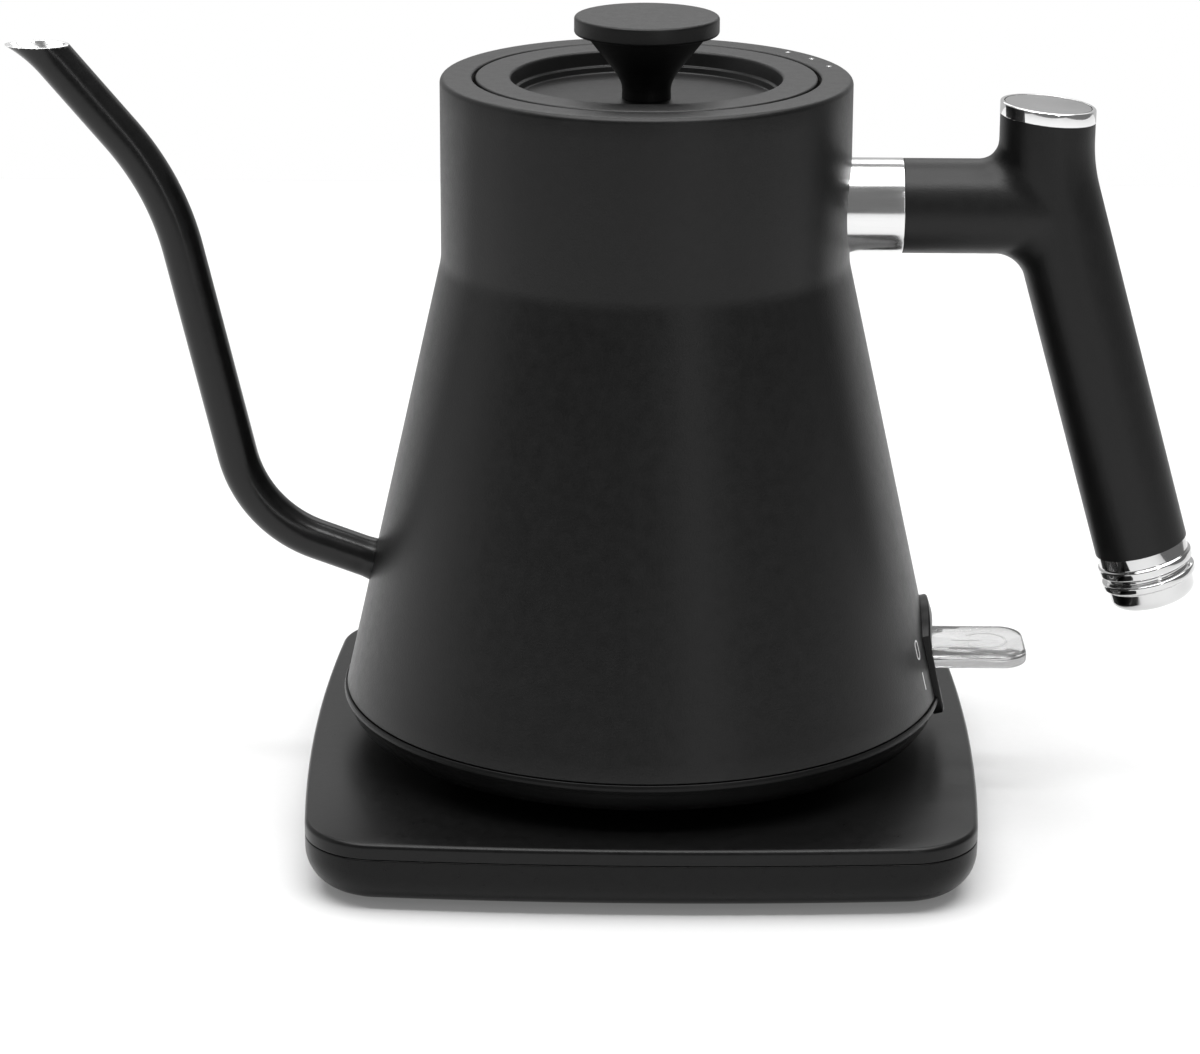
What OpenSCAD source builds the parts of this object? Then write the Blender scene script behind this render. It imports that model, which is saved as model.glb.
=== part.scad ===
// Gooseneck electric kettle on a cordless power base.
// Millimetres, +Z up. The origin is on the counter below the middle of the kettle,
// the handle is towards +X, the spout towards -X and the power lead leaves towards +Y.

/* [Body] */
// Outer radius of the straight neck of the body
neck_r = 51; // [49:0.5:52]
// Height of the flat rim above the counter
rim_z = 189; // [186:1:192]
// Height at which the neck ends and the cone begins
shoulder_z = 143; // [138:1:148]
// How far the cone widens for each millimetre further down
cone_slope = 0.225; // [0.215:0.005:0.23]
// Thickness of the steel body
sheet = 1; // [0.8:0.1:1]

/* [Lid] */
// Radius of the filler opening
mouth_r = 43; // [42:0.5:43.5]
// Gap around the lid
lid_gap = 0.8; // [0.6:0.1:1]
// Radius of the dish pressed into the lid
dish_r = 33; // [31:0.5:34]
// Radius of the knob's round top
knob_r = 17.9; // [16:0.1:19]
// Height of the knob's top above the counter
knob_top_z = 204; // [203:0.5:206]

/* [Spout] */
// Outer diameter of the spout tube
spout_d = 10.3; // [9.5:0.1:10.5]
// Thickness of the spout tube
spout_wall = 0.8; // [0.6:0.1:0.9]
// Radius of the bend next to the body
low_bend_r = 31.5; // [30:0.5:33]
// Radius of the bend before the tip
high_bend_r = 70; // [66:1:74]

/* [Handle] */
// Diameter of the arm, the post and the grip
handle_d = 23.7; // [22:0.1:24.5]
// Height of the arm's axis above the counter
arm_z = 156.7; // [155:0.1:158]
// Distance of the upright post from the kettle's axis
post_x = 99.2; // [98:0.1:101]
// Lean of the grip away from the kettle, in degrees
grip_lean = 16; // [15:0.5:17]

/* [Switch] */
// How far the clear lever sticks out, measured from the kettle's axis
lever_reach = 98.5; // [92:0.5:100]
// Width of the clear lever
lever_w = 24.4; // [20:0.2:24.4]
// Thickness of the clear lever
lever_t = 3.5; // [3:0.1:3.6]

/* [Power base] */
// Half of the width of the base, across the middle of its sides
base_half = 84.7; // [83:0.1:87]
// Height of the top of the base
base_top_z = 18; // [17.8:0.1:18]
// Radius of the base's rounded corners
base_corner_r = 18.8; // [16:0.2:20]
// How far each side of the base bows out in the middle
side_bow = 4.2; // [3:0.1:5]

/* [Hidden] */
$fn = 96;

// A little extra length for cutting tools, so that they pass right through
cut = 1;

// Body and chamber levels
body_edge_z = 31.5;
floor_z = 50;
floor_t = 1;
spreader_bottom_z = 47;
ledge_z = 178;
ledge_r = 40.5;
ledge_t = 1;
rim_edge = 0.8;

// Vent holes through the flat rim, given by their angles from +X
vent_angles = [16.5, 29, 41];
vent_at = 47.5;
vent_r = 0.7;

// Lid levels
lid_r = mouth_r - lid_gap;
dish_step_z = rim_z - 3.8;
dish_floor_z = rim_z - 5.5;
dish_under_z = dish_floor_z - 1.5;
lid_wall = 1.5;
lid_skirt_z = 180;
lid_plate_z = 178.6;

// Knob outline
knob_t = 4.4;
knob_foot_r = 6;
knob_neck_r = 6.1;
knob_screw_r = 1.6;
knob_bore = 9;

// Spout route in the XZ plane, each stretch given by its slope and length
root_x = -69.9;
root_z = 63.3;
root_slope = 20;
riser_slope = 77;
tip_slope = 50;
root_run = 14.3;
root_back = 8;
riser_run = 54.9;
tip_run = 24;
flare_run = 13;
flare_turn = 19;
lip_spread = 2.6;
mouth_cut_z = 196;
spout_r = spout_d / 2;
bore_r = spout_r - spout_wall;
hair = 0.02;
lap = 0.3;

// Handle
arm_r = handle_d / 2;
collar_end_x = 64;
collar_bore_r = 8;
post_top_z = 179.2;
post_cap_lean = 5;
post_cap_t = 3.4;
cap_rim = 1.4;
cap_stem_r = 6;
disc_floor = 1.5;
grip_r = arm_r - 0.1;
grip_joint_z = 166.3;
grip_run = 101.5;
grip_cap_run = 15;
cap_bore = 8;
stud_r = 3;
end_stud_r = 4;
stud_end_x = 97;
nut_x = 93;
post_bore_r = 8.5;

// Switch
pivot_x = 62;
pivot_z = 40.3;
lever_top_z = 42;
pin_r = 1.5;
rocker_x = 52.5;
rocker_z = 36;
rocker_pin_r = 1.2;
pin_play = 0.05;
frame_top_z = 33;
frame_w = 32;
bezel_proud = 2.7;
bezel_half_w = 13.3;
slot_half_w = 12.7;
slot_low_z = 31.8;
slot_high_z = 42.7;
wall_lean = atan(cone_slope);

// Heating element under the vessel
element_r = 28;
element_tube_r = 3.5;
element_flat = 2.8;
element_z = spreader_bottom_z - element_flat;
element_half_turn = 160;
terminal_run = 6;

// Steam tube and the switch's bimetal disc below it
steam_x = 42;
steam_tube_r = 3.5;
steam_bore_r = 2.7;
steam_top_z = 172;
steam_low_z = 45;
grommet_r = 5;
grommet_lip_r = 6.5;
steam_disc_z = 42.6;
disc_t = 0.6;

// Control housing
control_top_z = 43;
control_floor_z = 40;

// Cordless connector, all round the kettle's axis
boss_r = 17;
boss_top_z = 29;
groove_in_r = 8.6;
groove_out_r = 10.9;
centre_bore_r = 4;
contact_z = 13;
recess_r = 17.8;
recess_top_z = 30.5;
plug_r = 22;
plug_low_z = 20.2;
plug_top_z = 33;

// Power base
base_wall = 2.5;
seam_z = 14;
top_under_z = base_top_z - base_wall;
top_fillet = 1.2;
shell_bottom_z = 1;
round_over = 10;
foot_in_r = 56;
foot_out_r = 64;
foot_t = 2;
slice_t = 0.05;

// Curves of the base's outline
bow_r = (base_half * base_half + side_bow * side_bow) / (2 * side_bow);
bow_reach = bow_r - base_half;
corner_at = (sqrt(2 * pow(bow_r - base_corner_r, 2) - bow_reach * bow_reach) - bow_reach) / 2;
bow_turn = atan2(corner_at, corner_at + bow_reach);

// Screws that hold the base's two halves together, in posts that meet at post_z
base_screw_xy = 60;
base_screw_r = 1.5;
base_screw_head_r = 3;
base_screw_head_z = 3;
base_screw_seat_z = 5;
post_z = 9;

// Lead entry and its clamp
cord_z = 8.8;
cord_bore_r = 3.4;
gland_r = 4.6;
gland_y = 77;
gland_run = 9.5;
gland_flange_r = 5;
gland_flange_t = 1.5;
clamp_x = 9;
clamp_y = 70;
clamp_z = cord_z + cord_bore_r;
clamp_t = 2.2;
clamp_screw_r = 1.2;

// Underside of the kettle
skirt_r = 77.7;
skirt_low_z = 23.6;
cover_r = 66;
cover_t = 2;
cover_screw_at = 63;
cover_screw_r = 1.2;
cover_head_r = 2.4;
cover_head_t = 0.9;
guide_in_r = 49;
guide_out_r = 52;
control_r = 20;

// Outer radius of the body at height z
function wall_r(z) = neck_r + cone_slope * max(0, shoulder_z - z);

// Points along an arc, given its centre, radius, first and last angle
function arc(c, r, a0, a1, n = 8) =
    [for (i = [0:n]) let (a = a0 + (a1 - a0) * i / n) [c[0] + r * cos(a), c[1] + r * sin(a)]];

// Outline of the base: four bowed sides and four round corners, drawn in by d
function base_outline(d) =
    [for (k = [0:3], p = concat(
            arc([-bow_reach, 0], bow_r - d, -bow_turn, bow_turn, 8),
            arc([corner_at, corner_at], base_corner_r - d, bow_turn + 8, 82 - bow_turn, 8)))
        [p[0] * cos(90 * k) - p[1] * sin(90 * k), p[0] * sin(90 * k) + p[1] * cos(90 * k)]];

// One thin slice of the base, for hull()
module base_slice(z, d) {
    translate([0, 0, z]) linear_extrude(slice_t) polygon(base_outline(d));
}

module tube(r_out, r_in, z0, z1) {
    translate([0, 0, z0]) difference() {
        cylinder(r = r_out, h = z1 - z0);
        translate([0, 0, -cut]) cylinder(r = r_in, h = z1 - z0 + 2 * cut);
    }
}

// A rod along +X from x0 to x1 at height z
module rod_x(r, x0, x1, z) {
    translate([x0, 0, z]) rotate([0, 90, 0]) cylinder(r = r, h = x1 - x0);
}

// A rod along Y, centred on the XZ plane
module rod_y(r, length, x, z) {
    translate([x, length / 2, z]) rotate([90, 0, 0]) cylinder(r = r, h = length);
}

// A screw that points up: round head at z0, shank above it
module screw_up(head_r, head_h, shank_r, z0, z1) {
    translate([0, 0, z0]) cylinder(r = head_r, h = head_h, $fn = 48);
    translate([0, 0, z0 + head_h]) cylinder(r = shank_r, h = z1 - z0 - head_h, $fn = 48);
}

module at_base_screws() {
    for (x = [-1, 1], y = [-1, 1]) translate([x * base_screw_xy, y * base_screw_xy, 0]) children();
}

module at_clamp_screws() {
    for (x = [-clamp_x, clamp_x]) translate([x, clamp_y, 0]) children();
}

module at_cover_screws() {
    for (a = [60, 180, 300]) rotate([0, 0, a]) translate([cover_screw_at, 0, 0]) children();
}

// ---- Power base ----

module base_top_cover() {
    color([0.08, 0.08, 0.085]) difference() {
        union() {
            difference() {
                hull() {
                    base_slice(seam_z, 0);
                    base_slice(base_top_z - top_fillet, 0);
                    base_slice(base_top_z - 0.3 * top_fillet, 0.3 * top_fillet);
                    base_slice(base_top_z - slice_t, top_fillet);
                }
                translate([0, 0, seam_z - cut]) linear_extrude(cut + top_under_z - seam_z)
                    polygon(base_outline(base_wall));
            }
            at_base_screws() translate([0, 0, post_z])
                cylinder(r = base_screw_r + 2, h = top_under_z - post_z, $fn = 48);
        }
        translate([0, 0, seam_z]) cylinder(r = boss_r, h = base_top_z - seam_z + cut);
        at_base_screws() translate([0, 0, post_z - cut])
            cylinder(r = base_screw_r, h = 5 + cut, $fn = 48);
    }
}

module base_bottom_shell() {
    round_z = shell_bottom_z + round_over;
    inside_z = 2;
    drain_at = 36;
    drain_r = 2.2;
    color([0.06, 0.06, 0.065]) difference() {
        union() {
            difference() {
                hull() {
                    base_slice(seam_z - slice_t, 0);
                    for (a = [0:15:90])
                        base_slice(round_z - round_over * sin(a), round_over * (1 - cos(a)));
                }
                hull() {
                    base_slice(seam_z + cut, base_wall);
                    base_slice(round_z, base_wall);
                    base_slice(round_z - 5, base_wall + 2);
                    base_slice(round_z - 7.3, base_wall + 8);
                }
            }
            at_base_screws() translate([0, 0, inside_z])
                cylinder(r = base_screw_r + 3, h = post_z - inside_z, $fn = 48);
            at_clamp_screws() translate([0, 0, inside_z])
                cylinder(r = 3, h = clamp_z - inside_z, $fn = 48);
            translate([-5, clamp_y - 2, inside_z]) cube([10, 4, cord_z - cord_bore_r - inside_z]);
            tube(boss_r + 3, boss_r - 1, inside_z, contact_z - 5);
        }
        at_base_screws() translate([0, 0, -cut]) {
            cylinder(r = base_screw_r + 0.3, h = post_z + 2 * cut, $fn = 48);
            cylinder(r = base_screw_head_r + 0.3, h = base_screw_seat_z + cut, $fn = 48);
        }
        at_clamp_screws() translate([0, 0, inside_z + 3]) cylinder(r = clamp_screw_r, h = 10, $fn = 48);
        tube(foot_out_r, foot_in_r, 0, foot_t);
        translate([0, gland_y - cut, cord_z]) rotate([-90, 0, 0]) cylinder(r = gland_r, h = 14);
        for (a = [0:45:315]) rotate([0, 0, a]) translate([drain_at, 0, -cut])
            cylinder(r = drain_r, h = 8, $fn = 32);
    }
}

module foot_ring() {
    color([0.15, 0.15, 0.15]) tube(foot_out_r, foot_in_r, 0, foot_t);
}

// Round post with a ring groove and a centre bore, on a flange under the top cover
module base_socket() {
    chamfer = 1;
    flange_r = 24;
    color([0.07, 0.07, 0.07]) difference() {
        union() {
            translate([0, 0, contact_z - 5]) cylinder(r = boss_r, h = boss_top_z - contact_z + 5 - chamfer);
            translate([0, 0, boss_top_z - chamfer])
                cylinder(r1 = boss_r, r2 = boss_r - chamfer, h = chamfer);
            tube(flange_r, boss_r - cut, contact_z - 1, top_under_z);
        }
        tube(groove_out_r, groove_in_r, contact_z, boss_top_z + cut);
        translate([0, 0, contact_z]) cylinder(r = centre_bore_r, h = boss_top_z);
    }
}

// A ring at the bottom of the groove and a sleeve that lines the centre bore
module base_contacts() {
    color([0.75, 0.6, 0.3]) {
        tube(groove_out_r, groove_in_r, contact_z, contact_z + 2);
        tube(centre_bore_r, 2.4, contact_z, boss_top_z - 2);
    }
}

module base_screws() {
    head_t = base_screw_seat_z - base_screw_head_z;
    color([0.6, 0.6, 0.62]) at_base_screws()
        screw_up(base_screw_head_r, head_t, base_screw_r, base_screw_head_z, 13.5);
}

module cord_gland() {
    color([0.05, 0.05, 0.05]) translate([0, gland_y, cord_z]) rotate([-90, 0, 0]) difference() {
        union() {
            cylinder(r = gland_r, h = gland_run);
            translate([0, 0, gland_run - gland_flange_t])
                cylinder(r = gland_flange_r, h = gland_flange_t);
        }
        translate([0, 0, -cut]) cylinder(r = cord_bore_r, h = gland_run + 2 * cut);
    }
}

module cord_clamp() {
    clamp_w = 26;
    clamp_d = 6;
    color([0.12, 0.12, 0.12]) difference() {
        translate([-clamp_w / 2, clamp_y - clamp_d / 2, clamp_z]) cube([clamp_w, clamp_d, clamp_t]);
        at_clamp_screws() translate([0, 0, clamp_z - cut])
            cylinder(r = clamp_screw_r, h = clamp_t + 2 * cut, $fn = 48);
    }
}

module clamp_screws() {
    low_z = 6;
    color([0.6, 0.6, 0.62]) at_clamp_screws() {
        translate([0, 0, low_z])
            cylinder(r = clamp_screw_r, h = clamp_z + clamp_t - low_z, $fn = 48);
        translate([0, 0, clamp_z + clamp_t]) cylinder(r = 2.2, h = 1, $fn = 48);
    }
}

// Safety ring that closes the groove when the kettle is lifted off
module connector_shutter() {
    clearance = 0.3;
    color([0.5, 0.08, 0.06]) tube(groove_out_r - clearance, groove_in_r + clearance, 17, 20);
}

// ---- Vessel ----

// The solid that fills the body, out to d beyond its outer surface
module cone_solid(z0, z1, d = 0) {
    translate([0, 0, z0]) cylinder(r1 = wall_r(z0) + d, r2 = wall_r(z1) + d, h = z1 - z0);
}

module switch_opening(x0, half_w, z0, z1) {
    translate([x0, -half_w, z0]) cube([40, 2 * half_w, z1 - z0]);
}

// Neck and cone in one sheet, with a hollow rim that turns in to a ledge under the lid
module body_shell() {
    color([0.09, 0.09, 0.095]) difference() {
        rotate_extrude($fn = 180) polygon([
            [wall_r(body_edge_z), body_edge_z], [neck_r, shoulder_z], [neck_r, rim_z - rim_edge],
            [neck_r - rim_edge, rim_z], [mouth_r, rim_z], [mouth_r, ledge_z], [ledge_r, ledge_z],
            [ledge_r, ledge_z - ledge_t], [mouth_r + sheet, ledge_z - ledge_t],
            [mouth_r + sheet, rim_z - sheet], [neck_r - sheet, rim_z - sheet],
            [neck_r - sheet, shoulder_z],
            [wall_r(body_edge_z) - sheet, body_edge_z]
        ]);
        translate([root_x - 10, 0, root_z + 10 * tan(root_slope)]) rotate([0, 90 + root_slope, 0])
            cylinder(r = bore_r, h = 20, $fn = 64);
        rod_x(stud_r, neck_r - 10, neck_r + 10, arm_z);
        switch_opening(60, slot_half_w, body_edge_z - cut, slot_high_z);
        for (a = vent_angles) rotate([0, 0, a]) translate([vent_at, 0, rim_z - 3])
            cylinder(r = vent_r, h = 5, $fn = 24);
    }
}

// One bend of the spout, from the XY plane upwards and towards +X
module bend(r, bend_r, turn) {
    translate([bend_r, 0, 0]) rotate([90, 0, 180]) rotate_extrude(angle = turn, $fn = 240)
        translate([bend_r, 0]) circle(r = r, $fn = 64);
}

// The tip: a straight length whose end flares into a pouring lip
module spout_tip(r, lip_r) {
    flare_r = flare_run / sin(flare_turn);
    spread = lip_r / (1 - cos(flare_turn));
    rotate_extrude($fn = 64) polygon(concat([[0, -lap], [r + hair, -lap]],
        [for (a = [0:flare_turn / 6:flare_turn])
            [r + hair + spread * (1 - cos(a)), tip_run + flare_r * sin(a)]],
        [[0, tip_run + flare_run]]));
}

// Places children at the start of a stretch, with +Z along the run. +X is the inner side of
// the low bend and the outer side of the high one.
module past_root() {
    translate([root_x, 0, root_z]) rotate([0, root_slope - 90, 0]) children();
}

module past_low_bend() {
    past_root() translate([0, 0, root_run]) {
        translate([low_bend_r, 0, 0]) rotate([0, riser_slope - root_slope, 0])
            translate([-low_bend_r, 0, 0]) children();
    }
}

module past_high_bend() {
    past_low_bend() translate([0, 0, riser_run]) {
        translate([-high_bend_r, 0, 0]) rotate([0, tip_slope - riser_slope, 0])
            translate([high_bend_r, 0, 0]) children();
    }
}

// The whole route as a solid rod. The bends have radius r, and the straight lengths are a
// hair thicker and lap over them, so that the route is one solid.
module spout_rod(r, lip_r) {
    past_root() translate([0, 0, -root_back])
        cylinder(r = r + hair, h = root_back + root_run + lap, $fn = 64);
    past_root() translate([0, 0, root_run]) bend(r, low_bend_r, riser_slope - root_slope);
    past_low_bend() translate([0, 0, -lap])
        cylinder(r = r + hair, h = riser_run + 2 * lap, $fn = 64);
    past_low_bend() translate([0, 0, riser_run]) rotate([0, 0, 180])
        bend(r, high_bend_r, riser_slope - tip_slope);
    past_high_bend() spout_tip(r, lip_r);
}

module spout() {
    color([0.09, 0.09, 0.095]) difference() {
        spout_rod(spout_r, lip_spread);
        spout_rod(bore_r, lip_spread);
        cone_solid(root_z - 18, root_z + 27);
        translate([root_x - 120, -20, mouth_cut_z]) cube([80, 40, 30]);
    }
}

module floor_plate() {
    color([0.75, 0.75, 0.76]) difference() {
        cone_solid(floor_z, floor_z + floor_t, -sheet);
        translate([steam_x, 0, floor_z - cut]) cylinder(r = grommet_r, h = 4, $fn = 48);
    }
}

module heat_spreader() {
    color([0.8, 0.8, 0.82]) translate([0, 0, spreader_bottom_z])
        cylinder(r = element_r + 8, h = floor_z - spreader_bottom_z);
}

module heating_element() {
    color([0.6, 0.58, 0.55]) rotate([0, 0, -element_half_turn])
        rotate_extrude(angle = 2 * element_half_turn) translate([element_r, element_z])
            difference() {
                circle(r = element_tube_r, $fn = 48);
                translate([-4, element_flat]) square([8, 2]);
            }
}

module element_terminals() {
    color([0.75, 0.6, 0.3]) for (side = [-1, 1])
        rotate([0, 0, side * element_half_turn]) translate([element_r, 0, element_z])
            rotate([-90 * side, 0, 0]) cylinder(r = 1.5, h = terminal_run, $fn = 32);
}

// ---- Control and connector under the vessel ----

module control_housing() {
    leg_at = 17;
    color([0.85, 0.83, 0.78]) difference() {
        union() {
            translate([0, 0, plug_top_z]) cylinder(r = control_r, h = control_top_z - plug_top_z);
            for (a = [60, 180, 300]) rotate([0, 0, a]) translate([leg_at, 0, plug_top_z])
                cylinder(r = 2.5, h = spreader_bottom_z - plug_top_z, $fn = 32);
        }
        translate([0, 0, control_floor_z]) cylinder(r = leg_at - 3, h = 4);
    }
}

// Two bimetal discs under the heat spreader, each with its push rod
module dry_boil_discs() {
    color([0.7, 0.7, 0.72]) for (x = [-7, 7]) translate([x, 0, 0]) {
        translate([0, 0, spreader_bottom_z - disc_t]) cylinder(r = 6.5, h = disc_t, $fn = 48);
        translate([0, 0, control_floor_z])
            cylinder(r = 1.5, h = spreader_bottom_z - disc_t - control_floor_z, $fn = 48);
    }
}

module steam_tube() {
    color([0.75, 0.75, 0.76]) translate([steam_x, 0, 0])
        tube(steam_tube_r, steam_bore_r, steam_low_z, steam_top_z);
}

module steam_grommet() {
    color([0.8, 0.45, 0.3]) translate([steam_x, 0, 0]) {
        tube(grommet_r, steam_tube_r, floor_z, floor_z + floor_t);
        tube(grommet_lip_r, steam_tube_r, floor_z + floor_t, floor_z + floor_t + 1.5);
    }
}

// Bimetal disc on a post of the switch frame
module steam_disc() {
    color([0.7, 0.7, 0.72]) translate([steam_x, 0, 0]) {
        translate([0, 0, steam_disc_z]) cylinder(r = 6, h = disc_t, $fn = 48);
        translate([0, 0, frame_top_z]) cylinder(r = 2, h = steam_disc_z - frame_top_z, $fn = 48);
    }
}

// Carries the pins of the lever and of the rocker between two ears
module switch_frame() {
    ear_t = 3.2;
    plate_t = 2;
    ear_x = 48;
    end_x = 66;
    color([0.8, 0.78, 0.7]) difference() {
        union() {
            translate([0, -frame_w / 2, frame_top_z - plate_t]) cube([end_x, frame_w, plate_t]);
            for (y = [-frame_w / 2, frame_w / 2 - ear_t])
                translate([ear_x, y, frame_top_z - plate_t]) cube([end_x - ear_x, ear_t, 13]);
        }
        translate([0, 0, plug_low_z]) cylinder(r = plug_r, h = 20);
        rod_y(pin_r, 40, pivot_x, pivot_z);
        rod_y(rocker_pin_r, 40, rocker_x, rocker_z);
    }
}

// Cup under the kettle that drops over the base's round post
module kettle_plug() {
    color([0.1, 0.1, 0.1]) difference() {
        translate([0, 0, plug_low_z]) cylinder(r = plug_r, h = plug_top_z - plug_low_z);
        translate([0, 0, plug_low_z - cut])
            cylinder(r = recess_r, h = recess_top_z - plug_low_z + cut);
    }
}

module plug_contacts() {
    pin_low_z = 17;
    color([0.75, 0.6, 0.3]) {
        translate([0, 0, pin_low_z]) cylinder(r = 2, h = recess_top_z - pin_low_z, $fn = 48);
        tube(10.2, 9.3, plug_low_z + 0.1, recess_top_z);
    }
}

// Closes the foot of the body: a lip under its edge, a band that tapers in below, a flange that
// carries the bottom cover and a spigot up inside the body
module skirt_ring() {
    spigot_top_z = 38;
    spigot_in_r = 72.4;
    spigot_out_r = wall_r(spigot_top_z) - sheet;
    lip_r = 0.6;
    flange_in_r = 60;
    flange_top_z = 28.2;
    color([0.05, 0.05, 0.055]) difference() {
        rotate_extrude($fn = 180) polygon(concat(
            [[wall_r(body_edge_z), body_edge_z], [skirt_r - lip_r / 2, body_edge_z]],
            arc([skirt_r - lip_r, body_edge_z - 0.8], lip_r, 60, 0, 3),
            [[skirt_r - 0.2, body_edge_z - 2.1]],
            arc([skirt_r - 10.7, body_edge_z], 10.3, -16, -50, 5),
            [[cover_r + 2.5, skirt_low_z], [cover_r, skirt_low_z], [cover_r, skirt_low_z + cover_t],
                [flange_in_r, skirt_low_z + cover_t], [flange_in_r, flange_top_z],
                [spigot_in_r, flange_top_z + 0.6], [spigot_in_r, spigot_top_z],
                [spigot_out_r, spigot_top_z], [wall_r(body_edge_z) - sheet, body_edge_z]]));
        switch_opening(60, slot_half_w, slot_low_z, 45);
        intersection() {
            switch_opening(70, bezel_half_w, 20, 45);
            difference() {
                cone_solid(20, 45, 10);
                cone_solid(20, 45);
            }
        }
        at_cover_screws() cylinder(r = cover_screw_r, h = 40, $fn = 32);
    }
}

// Plate under the kettle, with a standing ring that centres it over the base
module bottom_cover() {
    drain_at = 38;
    color([0.06, 0.06, 0.065]) difference() {
        union() {
            translate([0, 0, skirt_low_z]) cylinder(r = cover_r, h = cover_t);
            tube(guide_out_r, guide_in_r, base_top_z + 0.3, skirt_low_z);
            tube(plug_r + 4, plug_r, plug_low_z, skirt_low_z);
        }
        translate([0, 0, skirt_low_z - 4]) cylinder(r = plug_r, h = 10);
        at_cover_screws() {
            cylinder(r = cover_screw_r, h = 40, $fn = 32);
            cylinder(r = cover_head_r, h = skirt_low_z + cover_head_t, $fn = 32);
        }
        for (a = [30:60:330]) rotate([0, 0, a]) translate([drain_at, 0, skirt_low_z - cut])
            cylinder(r = 2.5, h = cover_t + 2 * cut, $fn = 32);
    }
}

module bottom_screws() {
    color([0.6, 0.6, 0.62]) at_cover_screws()
        screw_up(cover_head_r, cover_head_t, cover_screw_r, skirt_low_z, 28);
}

// ---- Switch ----

// Outline of the bezel: straight sides, an arched top and cut lower corners
module bezel_outline(d) {
    w = bezel_half_w - d;
    arch = 5.6;
    top = 13.7;
    low = -14.4;
    corner = 3;
    top_r = (w * w + arch * arch) / (2 * arch);
    top_turn = asin(w / top_r);
    polygon(concat(
        arc([0, top - d - top_r], top_r, 90 - top_turn, 90 + top_turn, 10),
        [[-w, low + corner], [-w + corner, low + d], [w - corner, low + d], [w, low + corner]]));
}

module switch_bezel() {
    bezel_z = 40;
    skin_t = 0.01;
    color([0.03, 0.03, 0.03]) difference() {
        translate([wall_r(bezel_z), 0, bezel_z]) rotate([0, -wall_lean, 0]) rotate([90, 0, 90]) hull() {
            translate([0, 0, -6]) linear_extrude(7) bezel_outline(0);
            translate([0, 0, bezel_proud - skin_t]) linear_extrude(skin_t) bezel_outline(1.4);
        }
        cone_solid(bezel_z - 25, bezel_z + 25);
        switch_opening(60, slot_half_w, slot_low_z, slot_high_z);
    }
}

module lever_pin() {
    color([0.7, 0.7, 0.72]) rod_y(pin_r, frame_w, pivot_x, pivot_z);
}

module rocker_pin() {
    color([0.7, 0.7, 0.72]) rod_y(rocker_pin_r, frame_w, rocker_x, rocker_z);
}

module indicator_lamp() {
    lamp_run = 8;
    lamp_turn = 20;
    color([0.9, 0.5, 0.2]) rotate([0, 0, lamp_turn]) translate([steam_x + 16, 0, control_top_z - 1])
        rotate([0, 90, 0]) cylinder(r = 2, h = lamp_run, $fn = 32);
}

module switch_lever() {
    back_x = 69;
    corner = 6.5;
    color([0.85, 0.87, 0.88, 0.5]) translate([0, 0, lever_top_z - lever_t]) linear_extrude(lever_t)
        polygon(concat(
            [[back_x, -lever_w / 2]],
            arc([lever_reach - corner, corner - lever_w / 2], corner, -90, 0, 6),
            arc([lever_reach - corner, lever_w / 2 - corner], corner, 0, 90, 6),
            [[back_x, lever_w / 2]]));
}

// Hub on the lever's pin, with a shelf for the lever in front and a toe behind
module lever_carrier() {
    hub_r = 3.6;
    toe_run = 8;
    color([0.9, 0.9, 0.88]) difference() {
        union() {
            rod_y(hub_r, 22, pivot_x, pivot_z);
            translate([pivot_x, -9, lever_top_z - lever_t]) cube([7, 18, lever_t]);
            translate([pivot_x - toe_run, -3, pivot_z - 1.5]) cube([toe_run, 6, 3]);
        }
        rod_y(pin_r + pin_play, 30, pivot_x, pivot_z);
    }
}

// Small rocker that the steam disc trips
module trip_rocker() {
    toe_run = 6;
    color([0.85, 0.2, 0.15]) difference() {
        union() {
            rod_y(2.6, 12, rocker_x, rocker_z);
            translate([rocker_x - toe_run, -3, rocker_z - 1]) cube([toe_run, 6, 2]);
        }
        rod_y(rocker_pin_r + pin_play, 20, rocker_x, rocker_z);
    }
}

// ---- Handle ----

// Curved plate inside the neck, with a stud that runs out through the arm
module handle_bracket() {
    plate_r = 12;
    plate_t = 2;
    color([0.7, 0.7, 0.72]) difference() {
        union() {
            rod_x(plate_r, neck_r - 11, neck_r + 4, arm_z);
            rod_x(stud_r, neck_r - 2, stud_end_x, arm_z);
        }
        translate([0, 0, arm_z - 20]) {
            cylinder(r = neck_r - sheet - plate_t, h = 40, $fn = 180);
            difference() {
                tube(70, neck_r - sheet, 0, 40);
                translate([0, 0, 20]) rod_x(stud_r, 40, 80, 0);
            }
        }
    }
}

module handle_nut() {
    nut_r = 5.5;
    nut_t = 3;
    color([0.7, 0.7, 0.72]) difference() {
        rod_x(nut_r, nut_x, nut_x + nut_t, arm_z);
        rod_x(stud_r, nut_x - cut, nut_x + nut_t + cut, arm_z);
    }
}

module handle_collar() {
    color([0.85, 0.85, 0.87]) difference() {
        rod_x(arm_r, neck_r - 11, collar_end_x, arm_z);
        rod_x(collar_bore_r, neck_r - 12, collar_end_x + cut, arm_z);
        translate([0, 0, arm_z - 20]) cylinder(r = neck_r, h = 40, $fn = 180);
    }
}

// Places children on the grip's axis, with +Z running down the grip
module on_grip() {
    translate([post_x, 0, grip_joint_z]) rotate([0, 180 - grip_lean, 0]) children();
}

// The sloping plane on which the cap sits
module on_post_top() {
    translate([post_x, 0, post_top_z]) rotate([0, post_cap_lean, 0]) children();
}

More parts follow.
